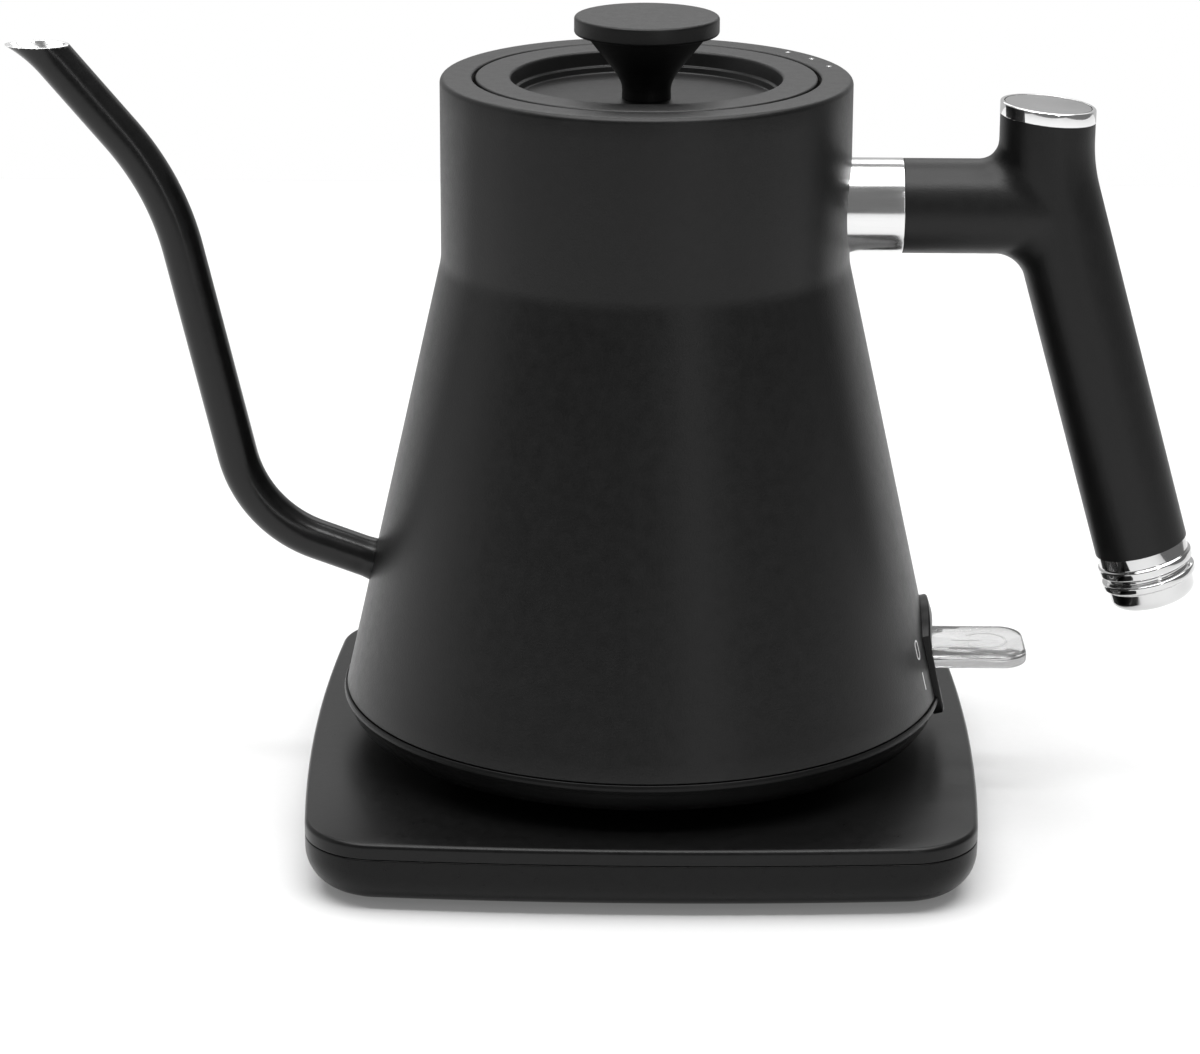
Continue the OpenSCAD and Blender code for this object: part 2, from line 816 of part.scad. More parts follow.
// Arm, upright post and leaning grip in one moulding, with a pocket for the nut in the post
module handle_body() {
    joint_drop = 2;
    stud_pocket = 30;
    color([0.08, 0.08, 0.085]) difference() {
        union() {
            rod_x(arm_r, collar_end_x, post_x, arm_z);
            translate([post_x, 0, arm_z - joint_drop]) cylinder(r = arm_r, h = 30);
            translate([post_x, 0, arm_z - joint_drop]) sphere(r = arm_r);
            on_grip() cylinder(r = grip_r, h = grip_run);
        }
        on_post_top() translate([-30, -30, 0]) cube([60, 60, 40]);
        translate([post_x, 0, arm_z - 8]) cylinder(r = post_bore_r, h = 40);
        rod_x(stud_r, collar_end_x - cut, post_x, arm_z);
        on_grip() translate([0, 0, grip_run - stud_pocket])
            cylinder(r = end_stud_r, h = stud_pocket + cut, $fn = 48);
    }
}

module cap_ring() {
    color([0.85, 0.85, 0.87]) intersection() {
        translate([post_x, 0, post_top_z - 10]) cylinder(r = arm_r, h = 30);
        on_post_top() difference() {
            cylinder(r = 2 * arm_r, h = post_cap_t);
            translate([0, 0, disc_floor]) cylinder(r = arm_r - cap_rim, h = 5);
            translate([0, 0, -cut]) cylinder(r = cap_stem_r, h = 5);
        }
    }
}

module cap_disc() {
    disc_h = 1.3;
    color([0.4, 0.4, 0.41]) on_post_top() {
        translate([0, 0, disc_floor]) cylinder(r = arm_r - cap_rim, h = disc_h);
        cylinder(r = cap_stem_r, h = disc_floor);
    }
}

module end_cap_stud() {
    inside_run = 28;
    color([0.7, 0.7, 0.72]) on_grip() translate([0, 0, grip_run - inside_run])
        cylinder(r = end_stud_r, h = inside_run + cap_bore, $fn = 48);
}

// Stacked plain bands, beads and grooves, ending in a round nose
module grip_end_cap() {
    bead_r = 0.9;
    bead_at = grip_r - 0.5;
    band_run = 3;
    neck_at = grip_r - 1.2;
    nose_r = 3.5;
    color([0.85, 0.85, 0.87]) on_grip() translate([0, 0, grip_run]) difference() {
        rotate_extrude() polygon(concat(
            [[0, 0], [grip_r - 0.3, 0], [grip_r - 0.3, band_run]],
            arc([bead_at, band_run + 1.6], bead_r, -90, 90, 6),
            [[neck_at, band_run + 3.2], [neck_at, band_run + 4.2]],
            arc([bead_at, band_run + 5.6], bead_r, -90, 90, 6),
            [[neck_at - 0.2, band_run + 7.2]],
            arc([neck_at - 0.2 - 2.6, grip_cap_run - nose_r], nose_r, 0, 90, 6),
            [[0, grip_cap_run]]));
        translate([0, 0, -cut]) cylinder(r = end_stud_r, h = cap_bore + cut, $fn = 48);
    }
}

// ---- Lid ----

// Flat ring with a stepped dish in its middle and a plain edge that goes down into the mouth
module lid_cover() {
    edge = 0.5;
    dish_edge = 0.6;
    color([0.09, 0.09, 0.095]) rotate_extrude() polygon(concat(
        [[knob_screw_r, dish_under_z], [dish_r + 0.5, dish_under_z], [dish_r + 2, rim_z - 2],
            [lid_r - lid_wall, rim_z - 2], [lid_r - lid_wall, lid_skirt_z], [lid_r, lid_skirt_z]],
        arc([lid_r - edge, rim_z - edge], edge, 0, 90, 3),
        arc([dish_r + dish_edge, rim_z - dish_edge], dish_edge, 90, 180, 3),
        [[dish_r, dish_step_z], [dish_r - 0.6, dish_step_z], [dish_r - 1, dish_floor_z],
            [knob_screw_r, dish_floor_z]]));
}

// Plate that closes the lid below, with a sleeve for the knob's screw
module lid_plate() {
    color([0.75, 0.75, 0.76]) {
        tube(lid_r, knob_screw_r, lid_plate_z, lid_skirt_z);
        tube(5, knob_screw_r, lid_skirt_z, dish_under_z);
    }
}

module lid_seal() {
    color([0.8, 0.8, 0.78])
        tube(lid_r - lid_wall, lid_r - lid_wall - 2.5, lid_skirt_z, lid_skirt_z + 3);
}

// Round top on a waisted stem
module lid_knob() {
    top = knob_top_z;
    edge = 0.8;
    waist_r = 12.4;
    color([0.09, 0.09, 0.095]) difference() {
        rotate_extrude() polygon(concat(
            [[0, dish_floor_z], [knob_foot_r, dish_floor_z]],
            arc([knob_neck_r + waist_r, dish_floor_z + 1.4], waist_r, 180, 107, 8),
            arc([knob_r - edge, top - knob_t + edge], edge, -90, 0, 3),
            arc([knob_r - edge, top - edge], edge, 0, 90, 3),
            [[0, top]]));
        translate([0, 0, dish_floor_z - cut]) cylinder(r = knob_screw_r, h = knob_bore + cut, $fn = 32);
    }
}

module knob_screw() {
    head_t = 2;
    color([0.7, 0.7, 0.72]) {
        translate([0, 0, lid_plate_z - head_t]) cylinder(r = 3.2, h = head_t, $fn = 48);
        translate([0, 0, lid_plate_z])
            cylinder(r = knob_screw_r, h = dish_floor_z + 7.1 - lid_plate_z, $fn = 32);
    }
}

base_top_cover();
base_bottom_shell();
foot_ring();
base_socket();
base_contacts();
base_screws();
cord_gland();
cord_clamp();
clamp_screws();
connector_shutter();
body_shell();
spout();
floor_plate();
heat_spreader();
heating_element();
element_terminals();
control_housing();
dry_boil_discs();
steam_tube();
steam_grommet();
steam_disc();
switch_frame();
kettle_plug();
plug_contacts();
skirt_ring();
bottom_cover();
bottom_screws();
switch_bezel();
lever_pin();
rocker_pin();
indicator_lamp();
handle_bracket();
handle_nut();
handle_collar();
handle_body();
cap_ring();
cap_disc();
end_cap_stud();
grip_end_cap();
lid_cover();
lid_plate();
lid_seal();
lid_knob();
knob_screw();
switch_lever();
lever_carrier();
trip_rocker();
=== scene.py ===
"""The looks of a gooseneck kettle on its power base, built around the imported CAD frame.

Sizes are in millimetres in the shared frame (+X handle, -X spout, +Y away, +Z up, origin on the
counter under the base). loft(), place() and box_mesh() turn them into metres, so every piece lands
where the CAD says. Only the floor and the lights are given in metres.
"""

import math

import bmesh
import bpy
import numpy as np
from mathutils import Matrix, Vector


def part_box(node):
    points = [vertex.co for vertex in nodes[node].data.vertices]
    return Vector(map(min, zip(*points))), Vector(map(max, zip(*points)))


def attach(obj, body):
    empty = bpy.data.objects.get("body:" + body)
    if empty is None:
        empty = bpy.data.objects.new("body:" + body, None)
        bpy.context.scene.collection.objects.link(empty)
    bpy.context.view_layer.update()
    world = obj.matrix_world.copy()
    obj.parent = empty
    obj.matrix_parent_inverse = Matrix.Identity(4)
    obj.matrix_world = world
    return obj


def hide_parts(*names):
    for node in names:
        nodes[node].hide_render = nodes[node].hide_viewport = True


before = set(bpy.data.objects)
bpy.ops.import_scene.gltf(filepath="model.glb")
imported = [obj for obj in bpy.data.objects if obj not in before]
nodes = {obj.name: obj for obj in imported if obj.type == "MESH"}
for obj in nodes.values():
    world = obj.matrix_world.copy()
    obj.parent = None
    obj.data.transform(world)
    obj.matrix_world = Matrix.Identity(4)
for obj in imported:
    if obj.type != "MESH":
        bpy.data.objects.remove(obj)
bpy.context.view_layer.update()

MM = 0.001


def span(node):
    """Lowest and highest corner of a CAD node, in millimetres."""
    return [Vector(corner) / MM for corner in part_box(node)]


# ---- Sizes read off the frame ----
body_low, body_high = span("body_shell")
lid_low, lid_high = span("lid_cover")
knob_low, knob_high = span("lid_knob")
skirt_low, skirt_high = span("skirt_ring")
collar_low, collar_high = span("handle_collar")
lever_low, lever_high = span("switch_lever")
shell_low, shell_high = span("base_bottom_shell")
top_high = span("base_top_cover")[1]
foot_high = span("foot_ring")[1]
gland_low, gland_high = span("cord_gland")
ring_low, ring_high = span("cap_ring")

# ---- Body: a cone and a straight neck of one sheet ----
NECK_R = 51.0
SHOULDER_Z = 143.0
SHEET = 1.0
RIM_Z = body_high.z
EDGE_Z = body_low.z
CONE_SLOPE = (body_high.y - NECK_R) / (SHOULDER_Z - EDGE_Z)
LID_R = lid_high.x
MOUTH_R = LID_R + 0.8
LEDGE_R = 40.5
LEDGE_Z = 178.0
VENT_ANGLES = (16.5, 29.0, 41.0)
VENT_RING_R = 47.5
VENT_R = 0.6

# ---- Lid ----
DISH_R = 33.0
DISH_STEP_Z = RIM_Z - 3.8
DISH_FLOOR_Z = knob_low.z
KNOB_R = knob_high.x
KNOB_TOP = knob_high.z

# ---- Spout, from the body outwards ----
SPOUT_R = 5.15
BORE_R = 4.35
ROOT = (-69.9, 63.3)
ROOT_SLOPE, RISER_SLOPE, TIP_SLOPE = 20.0, 77.0, 50.0
ROOT_RUN, RISER_RUN, TIP_RUN = 14.3, 54.9, 24.0
LOW_BEND_R, HIGH_BEND_R = 31.5, 70.0
FLARE_RUN, FLARE_TURN, LIP_SPREAD = 13.0, 19.0, 2.6
MOUTH_Z = 196.0

# ---- Handle ----
ARM_Z = (collar_low.z + collar_high.z) / 2
ARM_R = (collar_high.z - collar_low.z) / 2
COLLAR_END = collar_high.x
POST_X = (ring_low.x + ring_high.x) / 2
POST_TOP = 179.2
CAP_LEAN = 5.0
CAP_T = 3.4
GRIP_LEAN = 16.0
GRIP_JOINT_Z = 166.3
GRIP_RUN = 101.5
HANDLE_R = ARM_R - 0.05
VOXEL = 1.1

# ---- Switch ----
LEVER_REACH = lever_high.x
LEVER_HALF = lever_high.y
LEVER_TOP, LEVER_BOTTOM = lever_high.z, lever_low.z
BEZEL_HALF = 13.3
MARKS_ASIDE = 21.3
ZERO_Z, STROKE_Z = 46.9, 38.6
SLOT_HALF = 12.7
SLOT_LOW, SLOT_HIGH = 31.8, 42.7

# ---- Cover under the kettle ----
COVER_R = 66.0
COVER_T = 2.0

# ---- Power base ----
BASE_HALF = shell_high.x
BASE_TOP = top_high.z
SEAM_Z = 14.0
CORNER_R = 18.8
SIDE_BOW = 4.2
ROUND_OVER = 10.0
SHELL_BOTTOM = shell_low.z
BASE_WALL = 2.5
BOSS_HOLE_R = 17.3
FOOT_IN_R = 56.0
CORD_Z = (gland_low.z + gland_high.z) / 2


def wall_r(z):
    """Outer radius of the body at height z."""
    return NECK_R + CONE_SLOPE * max(0.0, SHOULDER_Z - z)


def about_z(r, degrees, z):
    """The point at radius r and an angle about Z, at height z."""
    angle = math.radians(degrees)
    return (r * math.cos(angle), r * math.sin(angle), z)


# ---- Outlines ----

def arc(centre, radius, start, stop, steps=8):
    """Points along an arc, with its angles in degrees."""
    turns = np.radians(np.linspace(start, stop, steps + 1))
    return [(centre[0] + radius * math.cos(a), centre[1] + radius * math.sin(a)) for a in turns]


def rounded(points, steps=6, loop=True):
    """The outline through points (u, v) or (u, v, radius), with an arc at each corner that has one."""
    outline = []
    for i, point in enumerate(points):
        at = Vector(point[:2])
        inside = loop or 0 < i < len(points) - 1
        if len(point) < 3 or not inside:
            outline.append(tuple(at))
            continue
        back = Vector(points[i - 1][:2]) - at
        ahead = Vector(points[(i + 1) % len(points)][:2]) - at
        half = back.angle(ahead) / 2
        reach = min(point[2] / math.tan(half), 0.49 * back.length, 0.49 * ahead.length)
        radius = reach * math.tan(half)
        middle = (back.normalized() + ahead.normalized()).normalized()
        centre = at + middle * (radius / math.sin(half))
        first = at + back.normalized() * reach - centre
        last = at + ahead.normalized() * reach - centre
        start = math.atan2(first.y, first.x)
        turn = math.remainder(math.atan2(last.y, last.x) - start, 2 * math.pi)
        for k in range(steps + 1):
            angle = start + turn * k / steps
            outline.append((centre.x + radius * math.cos(angle), centre.y + radius * math.sin(angle)))
    return outline


def split_long(outline, longest, loop=True):
    """The same outline with extra points on stretches longer than longest."""
    points = []
    ends = outline[1:] + outline[:1] if loop else outline[1:]
    for a, b in zip(outline, ends):
        parts = max(1, math.ceil(math.dist(a, b) / longest))
        points += [tuple(np.array(a) + (np.array(b) - np.array(a)) * k / parts) for k in range(parts)]
    return points if loop else points + [outline[-1]]


# ---- Meshes ----

def loft(rings, loop=False, caps=False):
    """A mesh through rings with the same count of points. loop joins the last ring to the first."""
    points = np.array(rings, float) * MM
    bm = bmesh.new()
    verts = [[bm.verts.new(p) for p in ring] for ring in points]
    around = len(points[0])
    for k in range(len(verts) if loop else len(verts) - 1):
        here, there = verts[k], verts[(k + 1) % len(verts)]
        for i in range(around):
            j = (i + 1) % around
            bm.faces.new((here[i], here[j], there[j], there[i]))
    if caps:
        bm.faces.new(verts[0])
        bm.faces.new(verts[-1])
    bmesh.ops.remove_doubles(bm, verts=bm.verts, dist=1e-7)
    bmesh.ops.recalc_face_normals(bm, faces=bm.faces)
    return bm


def lathe(outline, turns=160, loop=True):
    """A solid turned about Z from points (radius, z). A point with radius 0 lies on the axis."""
    angles = np.radians(np.linspace(0, 360, turns, endpoint=False))
    rings = [np.stack([r * np.cos(angles), r * np.sin(angles), np.full(turns, z)], 1) for r, z in outline]
    return loft(rings, loop=loop)


def rod(start, stop, radius, turns=64):
    """A cylinder between two points."""
    axis = Vector(stop) - Vector(start)
    bm = lathe([(0, 0), (radius, 0), (radius, axis.length), (0, axis.length)], turns, loop=False)
    place(bm, start, axis)
    return bm


def place(bm, at, axis):
    """Moves a mesh built along +Z so that it starts at a point and runs along an axis."""
    turn = Vector(axis).to_track_quat("Z", "X").to_matrix().to_4x4()
    bm.transform(Matrix.Translation(Vector(at) * MM) @ turn)


def merge(*meshes):
    """One mesh that holds several."""
    whole = bmesh.new()
    for bm in meshes:
        part = bpy.data.meshes.new("part")
        bm.to_mesh(part)
        bm.free()
        whole.from_mesh(part)
        bpy.data.meshes.remove(part)
    return whole


def box_mesh(corner, size):
    """A box from its lowest corner, used as a cutter."""
    bm = bmesh.new()
    bmesh.ops.create_cube(bm, size=1)
    centre = Vector(corner) + Vector(size) / 2
    bm.transform(Matrix.Translation(centre * MM) @ Matrix.Diagonal((*(Vector(size) * MM), 1)))
    return bm


def stand_in(bm):
    """A passing object that holds a mesh while it is worked on."""
    mesh = bpy.data.meshes.new("passing")
    bm.to_mesh(mesh)
    bm.free()
    obj = bpy.data.objects.new("passing", mesh)
    bpy.context.scene.collection.objects.link(obj)
    return obj


def worked(obj, *others):
    """The mesh of obj with its modifiers applied. The passing objects go."""
    evaluated = obj.evaluated_get(bpy.context.evaluated_depsgraph_get())
    mesh = bpy.data.meshes.new_from_object(evaluated)
    bm = bmesh.new()
    bm.from_mesh(mesh)
    bpy.data.meshes.remove(mesh)
    for passing in (obj, *others):
        bpy.data.objects.remove(passing)
    return bm


def carve(bm, *cutters):
    """Cuts the cutters' solids out of a mesh."""
    target = stand_in(bm)
    tools = [stand_in(cutter) for cutter in cutters]
    for tool in tools:
        cut = target.modifiers.new("cut", "BOOLEAN")
        cut.operation = "DIFFERENCE"
        cut.solver = "EXACT"
        cut.object = tool
    return worked(target, *tools)


def piece(name, bm, materials, body, slot, *stands_for, crease=30):
    """Makes an object of a mesh that rides on a body and stands for CAD nodes.

    It is shaded smooth where faces meet at less than crease degrees.
    """
    mesh = bpy.data.meshes.new(name)
    bm.to_mesh(mesh)
    bm.free()
    mesh.polygons.foreach_set("use_smooth", [True] * len(mesh.polygons))
    mesh.set_sharp_from_angle(angle=math.radians(crease))
    mesh.update()
    for material in materials:
        mesh.materials.append(material)
    obj = bpy.data.objects.new(name, mesh)
    bpy.context.scene.collection.objects.link(obj)
    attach(obj, body)
    if stands_for:
        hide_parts(*stands_for)
    return obj


# ---- Materials ----

def surface(name, dark, light, rough, metallic=0.0, mottle=9.0, grain=0.35, depth=0.004,
            wave=2.5, wave_depth=0.0, stretch=(1, 1, 1), **sockets):
    """A procedural finish.

    dark and light bound the colour and rough bounds the roughness. Both follow slow patches,
    mottle mm wide, mixed half and half with fine grain. The relief is the grain and slower waves,
    each with its width and depth in mm. stretch scales them along X, Y and Z, so that a small
    number draws them out.
    """
    material = bpy.data.materials.new(name)
    material.use_nodes = True
    tree = material.node_tree
    shader = tree.nodes["Principled BSDF"]
    link = tree.links.new
    place_node = tree.nodes.new("ShaderNodeTexCoord")
    drawn = tree.nodes.new("ShaderNodeMapping")
    drawn.inputs["Scale"].default_value = stretch
    link(place_node.outputs["Object"], drawn.inputs["Vector"])

    def noise(width, vector, detail=2.0):
        node = tree.nodes.new("ShaderNodeTexNoise")
        node.inputs["Scale"].default_value = 1 / (width * MM)
        node.inputs["Detail"].default_value = detail
        link(vector, node.inputs["Vector"])
        return node.outputs["Fac"]

    patches = noise(mottle, place_node.outputs["Object"], 4.0)
    fine = noise(grain, drawn.outputs["Vector"])
    low_end, high_end = 0.3, 0.7
    ramp = tree.nodes.new("ShaderNodeValToRGB")
    ramp.color_ramp.elements[0].position = low_end
    ramp.color_ramp.elements[1].position = high_end
    ramp.color_ramp.elements[0].color = (*dark, 1)
    ramp.color_ramp.elements[1].color = (*light, 1)
    mixed = tree.nodes.new("ShaderNodeMath")
    mixed.operation = "MULTIPLY_ADD"
    mixed.inputs[1].default_value = 0.5
    link(fine, mixed.inputs[0])
    halved = tree.nodes.new("ShaderNodeMath")
    halved.operation = "MULTIPLY"
    halved.inputs[1].default_value = 0.5
    link(patches, halved.inputs[0])
    link(halved.outputs[0], mixed.inputs[2])
    link(mixed.outputs[0], ramp.inputs["Fac"])
    link(ramp.outputs["Color"], shader.inputs["Base Color"])
    gloss = tree.nodes.new("ShaderNodeMapRange")
    gloss.inputs["From Min"].default_value = low_end
    gloss.inputs["From Max"].default_value = high_end
    gloss.inputs["To Min"].default_value = rough[0]
    gloss.inputs["To Max"].default_value = rough[1]
    link(mixed.outputs[0], gloss.inputs["Value"])
    link(gloss.outputs["Result"], shader.inputs["Roughness"])
    bump = tree.nodes.new("ShaderNodeBump")
    bump.inputs["Distance"].default_value = depth * MM
    link(fine, bump.inputs["Height"])
    if wave_depth:
        swell = tree.nodes.new("ShaderNodeBump")
        swell.inputs["Distance"].default_value = wave_depth * MM
        link(noise(wave, drawn.outputs["Vector"]), swell.inputs["Height"])
        link(swell.outputs["Normal"], bump.inputs["Normal"])
    link(bump.outputs["Normal"], shader.inputs["Normal"])
    shader.inputs["Metallic"].default_value = metallic
    for socket, value in sockets.items():
        shader.inputs[socket.replace("_", " ")].default_value = value
    return material


def grey(level, warmth=0.0):
    """A linear grey, a little warmer where warmth is above 0."""
    return (level * (1 + warmth), level, level * (1 - warmth))


coat = surface("powder_coat", grey(0.0025), grey(0.0058), (0.34, 0.43), grain=0.45, depth=0.034,
               wave=1.6, wave_depth=0.012, mottle=3.0, Specular_IOR_Level=0.31)
spout_coat = surface("spout_coat", grey(0.0025), grey(0.0058), (0.20, 0.27), grain=0.45, depth=0.012,
                     wave=1.6, wave_depth=0.006, mottle=3.0, Specular_IOR_Level=0.34)
handle_coat = surface("handle_coat", grey(0.0025), grey(0.0058), (0.36, 0.45), grain=0.45, depth=0.03,
                      wave=1.6, wave_depth=0.01, mottle=3.0, Specular_IOR_Level=0.31)
moulding = surface("black_moulding", grey(0.003), grey(0.006), (0.27, 0.35), grain=0.35, depth=0.012,
                   mottle=3.0, Specular_IOR_Level=0.23)
# A copy of black_moulding with a lower specular level for the lower shell: painted shade that dims the
# reflections on the base's side.
shaded_side_moulding = surface("black_shaded_side_moulding", grey(0.003), grey(0.006), (0.26, 0.34), grain=0.35,
                        depth=0.012, mottle=3.0, Specular_IOR_Level=0.17)
skirt_plastic = surface("skirt_plastic", grey(0.003), grey(0.006), (0.32, 0.40), grain=0.4, depth=0.010,
                        Specular_IOR_Level=0.16)
bezel_plastic = surface("bezel_plastic", grey(0.003), grey(0.006), (0.30, 0.38), grain=0.4, depth=0.008,
                        Specular_IOR_Level=0.2)
dark_plastic = surface("dark_moulding", grey(0.014), grey(0.020), (0.42, 0.52), grain=0.4, depth=0.010)
chrome = surface("polished_chrome", grey(0.78), grey(0.84), (0.03, 0.07), metallic=1.0, mottle=14.0,
                 grain=6.0, depth=0.0, wave=9.0, wave_depth=0.004)
collar_chrome = surface("collar_chrome", grey(0.74), grey(0.80), (0.10, 0.17), metallic=1.0, mottle=14.0,
                        grain=0.5, depth=0.0015, stretch=(0.06, 1.0, 1.0))
# A darker copy of the polished chrome for the grip's end cap: painted shade that dims the floor's bright
# reflection on the cap's nose.
shaded_cap_chrome = surface("shaded_cap_chrome", grey(0.62), grey(0.68), (0.04, 0.08), metallic=1.0, mottle=14.0,
                     grain=6.0, depth=0.0, wave=9.0, wave_depth=0.004)
cap_grey = surface("grey_disc", grey(0.15), grey(0.20), (0.42, 0.52), metallic=0.35, grain=0.3,
                   depth=0.006)
steel = surface("brushed_steel", grey(0.50, 0.02), grey(0.62, 0.02), (0.22, 0.34), metallic=1.0,
                grain=0.5, depth=0.003, stretch=(0.08, 0.08, 1.0))
mouth_steel = surface("polished_steel", grey(0.88), grey(0.92), (0.22, 0.30), metallic=1.0, grain=0.6,
                      depth=0.001)
aluminium = surface("aluminium_plate", grey(0.55), grey(0.66), (0.35, 0.50), metallic=1.0, grain=0.6,
                    depth=0.006)
brass = surface("contact_brass", (0.60, 0.42, 0.17), (0.72, 0.52, 0.22), (0.22, 0.36), metallic=1.0,
                grain=0.5, depth=0.003)
zinc = surface("zinc_steel", grey(0.42), grey(0.55, 0.01), (0.25, 0.40), metallic=1.0, grain=0.5,
               depth=0.004)
silicone = surface("grey_silicone", grey(0.42), grey(0.50), (0.45, 0.55), grain=0.5, depth=0.004,
                   Subsurface_Weight=0.1)
rubber = surface("black_rubber", grey(0.012), grey(0.020), (0.62, 0.75), grain=0.4, depth=0.012)
red_silicone = surface("red_silicone", (0.45, 0.10, 0.05), (0.55, 0.14, 0.07), (0.42, 0.52), grain=0.5,
                       depth=0.004)
cream = surface("control_moulding", (0.62, 0.58, 0.50), (0.70, 0.66, 0.58), (0.40, 0.50), grain=0.5,
                depth=0.005)
red_plastic = surface("red_moulding", (0.42, 0.03, 0.02), (0.52, 0.05, 0.03), (0.35, 0.45), grain=0.5,
                      depth=0.004)
lamp_glass = surface("lamp_glass", (0.85, 0.35, 0.10), (0.95, 0.45, 0.15), (0.08, 0.15), grain=0.8,
                     depth=0.001, Transmission_Weight=0.6)
acrylic = surface("clear_acrylic", grey(0.73), grey(0.78), (0.03, 0.06), grain=3.0, depth=0.0006,
                  mottle=12.0, Transmission_Weight=0.95, IOR=1.49)
frost = surface("frosted_mark", grey(0.50), grey(0.60), (0.45, 0.60), grain=0.3, depth=0.01)
white_ink = surface("white_ink", grey(0.72), grey(0.80), (0.45, 0.55), grain=0.3, depth=0.003)
paper = surface("pale_floor", grey(0.63), grey(0.65), (0.75, 0.85), grain=2.0, depth=0.0, mottle=400.0,
                Emission_Color=(1, 1, 1, 1), Emission_Strength=0.13)


# ---- Kettle body ----

def slot_cutter(low, high):
    """The block that cuts the switch's slot through a wall on the handle's side."""
    start, run = 60, 40
    return box_mesh((start, -SLOT_HALF, low), (run, 2 * SLOT_HALF, high - low))


def body_shell():
    """Cone and neck of one sheet, turned in at the rim and down to the lid's ledge.

    It is coated outside and brushed steel inside.
    """
    hollow = MOUTH_R + SHEET
    outline = rounded([
        (wall_r(EDGE_Z), EDGE_Z, 0.25), (NECK_R, SHOULDER_Z, 18), (NECK_R, RIM_Z, 1.4),
        (MOUTH_R, RIM_Z, 0.7), (MOUTH_R, LEDGE_Z, 0.8), (LEDGE_R, LEDGE_Z, 0.4),
        (LEDGE_R, LEDGE_Z - SHEET, 0.4), (hollow, LEDGE_Z - SHEET, 0.6), (hollow, RIM_Z - SHEET, 0.6),
        (NECK_R - SHEET, RIM_Z - SHEET, 0.6), (NECK_R - SHEET, SHOULDER_Z, 18),
        (wall_r(EDGE_Z) - SHEET, EDGE_Z, 0.25)])
    bm = lathe(split_long(outline, 5.0), turns=224)
    slope = math.radians(ROOT_SLOPE)
    along = Vector((-math.cos(slope), 0, math.sin(slope)))
    root = Vector((ROOT[0], 0, ROOT[1]))
    spout_hole = rod(root - along * 10, root + along * 10, BORE_R)
    vents = [rod(about_z(VENT_RING_R, a, RIM_Z - 3), about_z(VENT_RING_R, a, RIM_Z + 1), VENT_R, 24)
             for a in VENT_ANGLES]
    bm = carve(bm, slot_cutter(EDGE_Z - 1, SLOT_HIGH), spout_hole, *vents)
    coated_rim = 0.9
    for face in bm.faces:
        at = face.calc_center_median() / MM
        r = math.hypot(at.x, at.y)
        behind = at.z < RIM_Z - coated_rim and r < wall_r(at.z) - 0.3 * SHEET
        bare = behind and (r < MOUTH_R + 0.4 * SHEET or at.z < LEDGE_Z)
        face.material_index = 1 if bare else 0
    piece("kettle_body", bm, [coat, steel], "kettle", "painted_steel", "body_shell")


def vent_eyelets():
    """A bright turned rim in each vent hole."""
    inner, outer, sleeve = VENT_R - 0.28, VENT_R + 0.12, VENT_R - 0.04
    proud, let_in, depth = 0.02, -0.1, -1.2
    rims = []
    for a in VENT_ANGLES:
        rim = lathe(rounded([(inner, depth), (inner, proud, 0.1), (outer, proud, 0.1), (outer, let_in),
                             (sleeve, let_in), (sleeve, depth)], 3), 24)
        place(rim, about_z(VENT_RING_R, a, RIM_Z), (0, 0, 1))
        rims.append(rim)
    piece("vent_eyelets", merge(*rims), [chrome], "kettle", "stainless")


def body_marks():
    """A 0 and an I printed on the cone beside the switch."""
    def on_cone(u, z, lift):
        """The point u mm round the cone from the marks' middle, at height z."""
        r = wall_r(z) + lift
        a = -math.asin(MARKS_ASIDE / r) + u / r
        return (r * math.cos(a), r * math.sin(a), z)

    def printed(outer, inner):
        """Ink between two outlines, from just under the coat to just over it."""
        proud, under = 0.03, -0.05
        return loft([[on_cone(u, z, lift) for u, z in outline] for outline, lift in (
            (outer, proud), (outer, under), (inner, under), (inner, proud))], loop=True)

    def oval(half_w, half_h, z):
        """A stadium shape: straight sides with round ends."""
        straight = half_h - half_w
        return ([(u, v + z + straight) for u, v in arc((0, 0), half_w, 0, 180, 12)]
                + [(u, v + z - straight) for u, v in arc((0, 0), half_w, 180, 360, 12)])

    zero = printed(oval(1.35, 2.6, ZERO_Z), oval(0.92, 2.17, ZERO_Z))
    stroke = printed(oval(0.26, 2.35, STROKE_Z), oval(0.02, 2.11, STROKE_Z))
    piece("switch_marks", merge(zero, stroke), [white_ink], "kettle", "painted_steel")


# ---- Spout ----

def spout_route():
    """Stations along the spout's centre: point (x, z), direction (x, z) and run past the high bend."""
    def heading(slope):
        a = math.radians(slope)
        return np.array([-math.cos(a), math.sin(a)])

    inside = 8
    stations = []
    at = np.array(ROOT) - heading(ROOT_SLOPE) * inside
    for s in np.linspace(0, ROOT_RUN + inside, 14):
        stations.append((at + heading(ROOT_SLOPE) * s, heading(ROOT_SLOPE), None))
    at = stations[-1][0]
    for bend_r, first, last, run, steps in ((LOW_BEND_R, ROOT_SLOPE, RISER_SLOPE, RISER_RUN, 26),
                                            (HIGH_BEND_R, RISER_SLOPE, TIP_SLOPE, 0, 18)):
        side = math.copysign(1, last - first)
        centre = at + side * bend_r * np.array([heading(first)[1], -heading(first)[0]])
        for slope in np.linspace(first, last, steps + 1)[1:]:
            ahead = heading(slope)
            stations.append((centre - side * bend_r * np.array([ahead[1], -ahead[0]]), ahead, None))
        at = stations[-1][0]
        for s in np.linspace(0, run, 20)[1:] if run else []:
            stations.append((at + heading(last) * s, heading(last), None))
        at = stations[-1][0]
    ahead = heading(TIP_SLOPE)
    for s in np.linspace(0, TIP_RUN + FLARE_RUN, 40)[1:]:
        stations.append((at + ahead * s, ahead, s))
    return stations


def flare(run):
    """How much the tube has widened at a run past the high bend."""
    if run is None or run <= TIP_RUN:
        return 0.0
    flare_r = FLARE_RUN / math.sin(math.radians(FLARE_TURN))
    spread = LIP_SPREAD / (1 - math.cos(math.radians(FLARE_TURN)))
    return spread * (1 - math.cos(math.asin((run - TIP_RUN) / flare_r)))


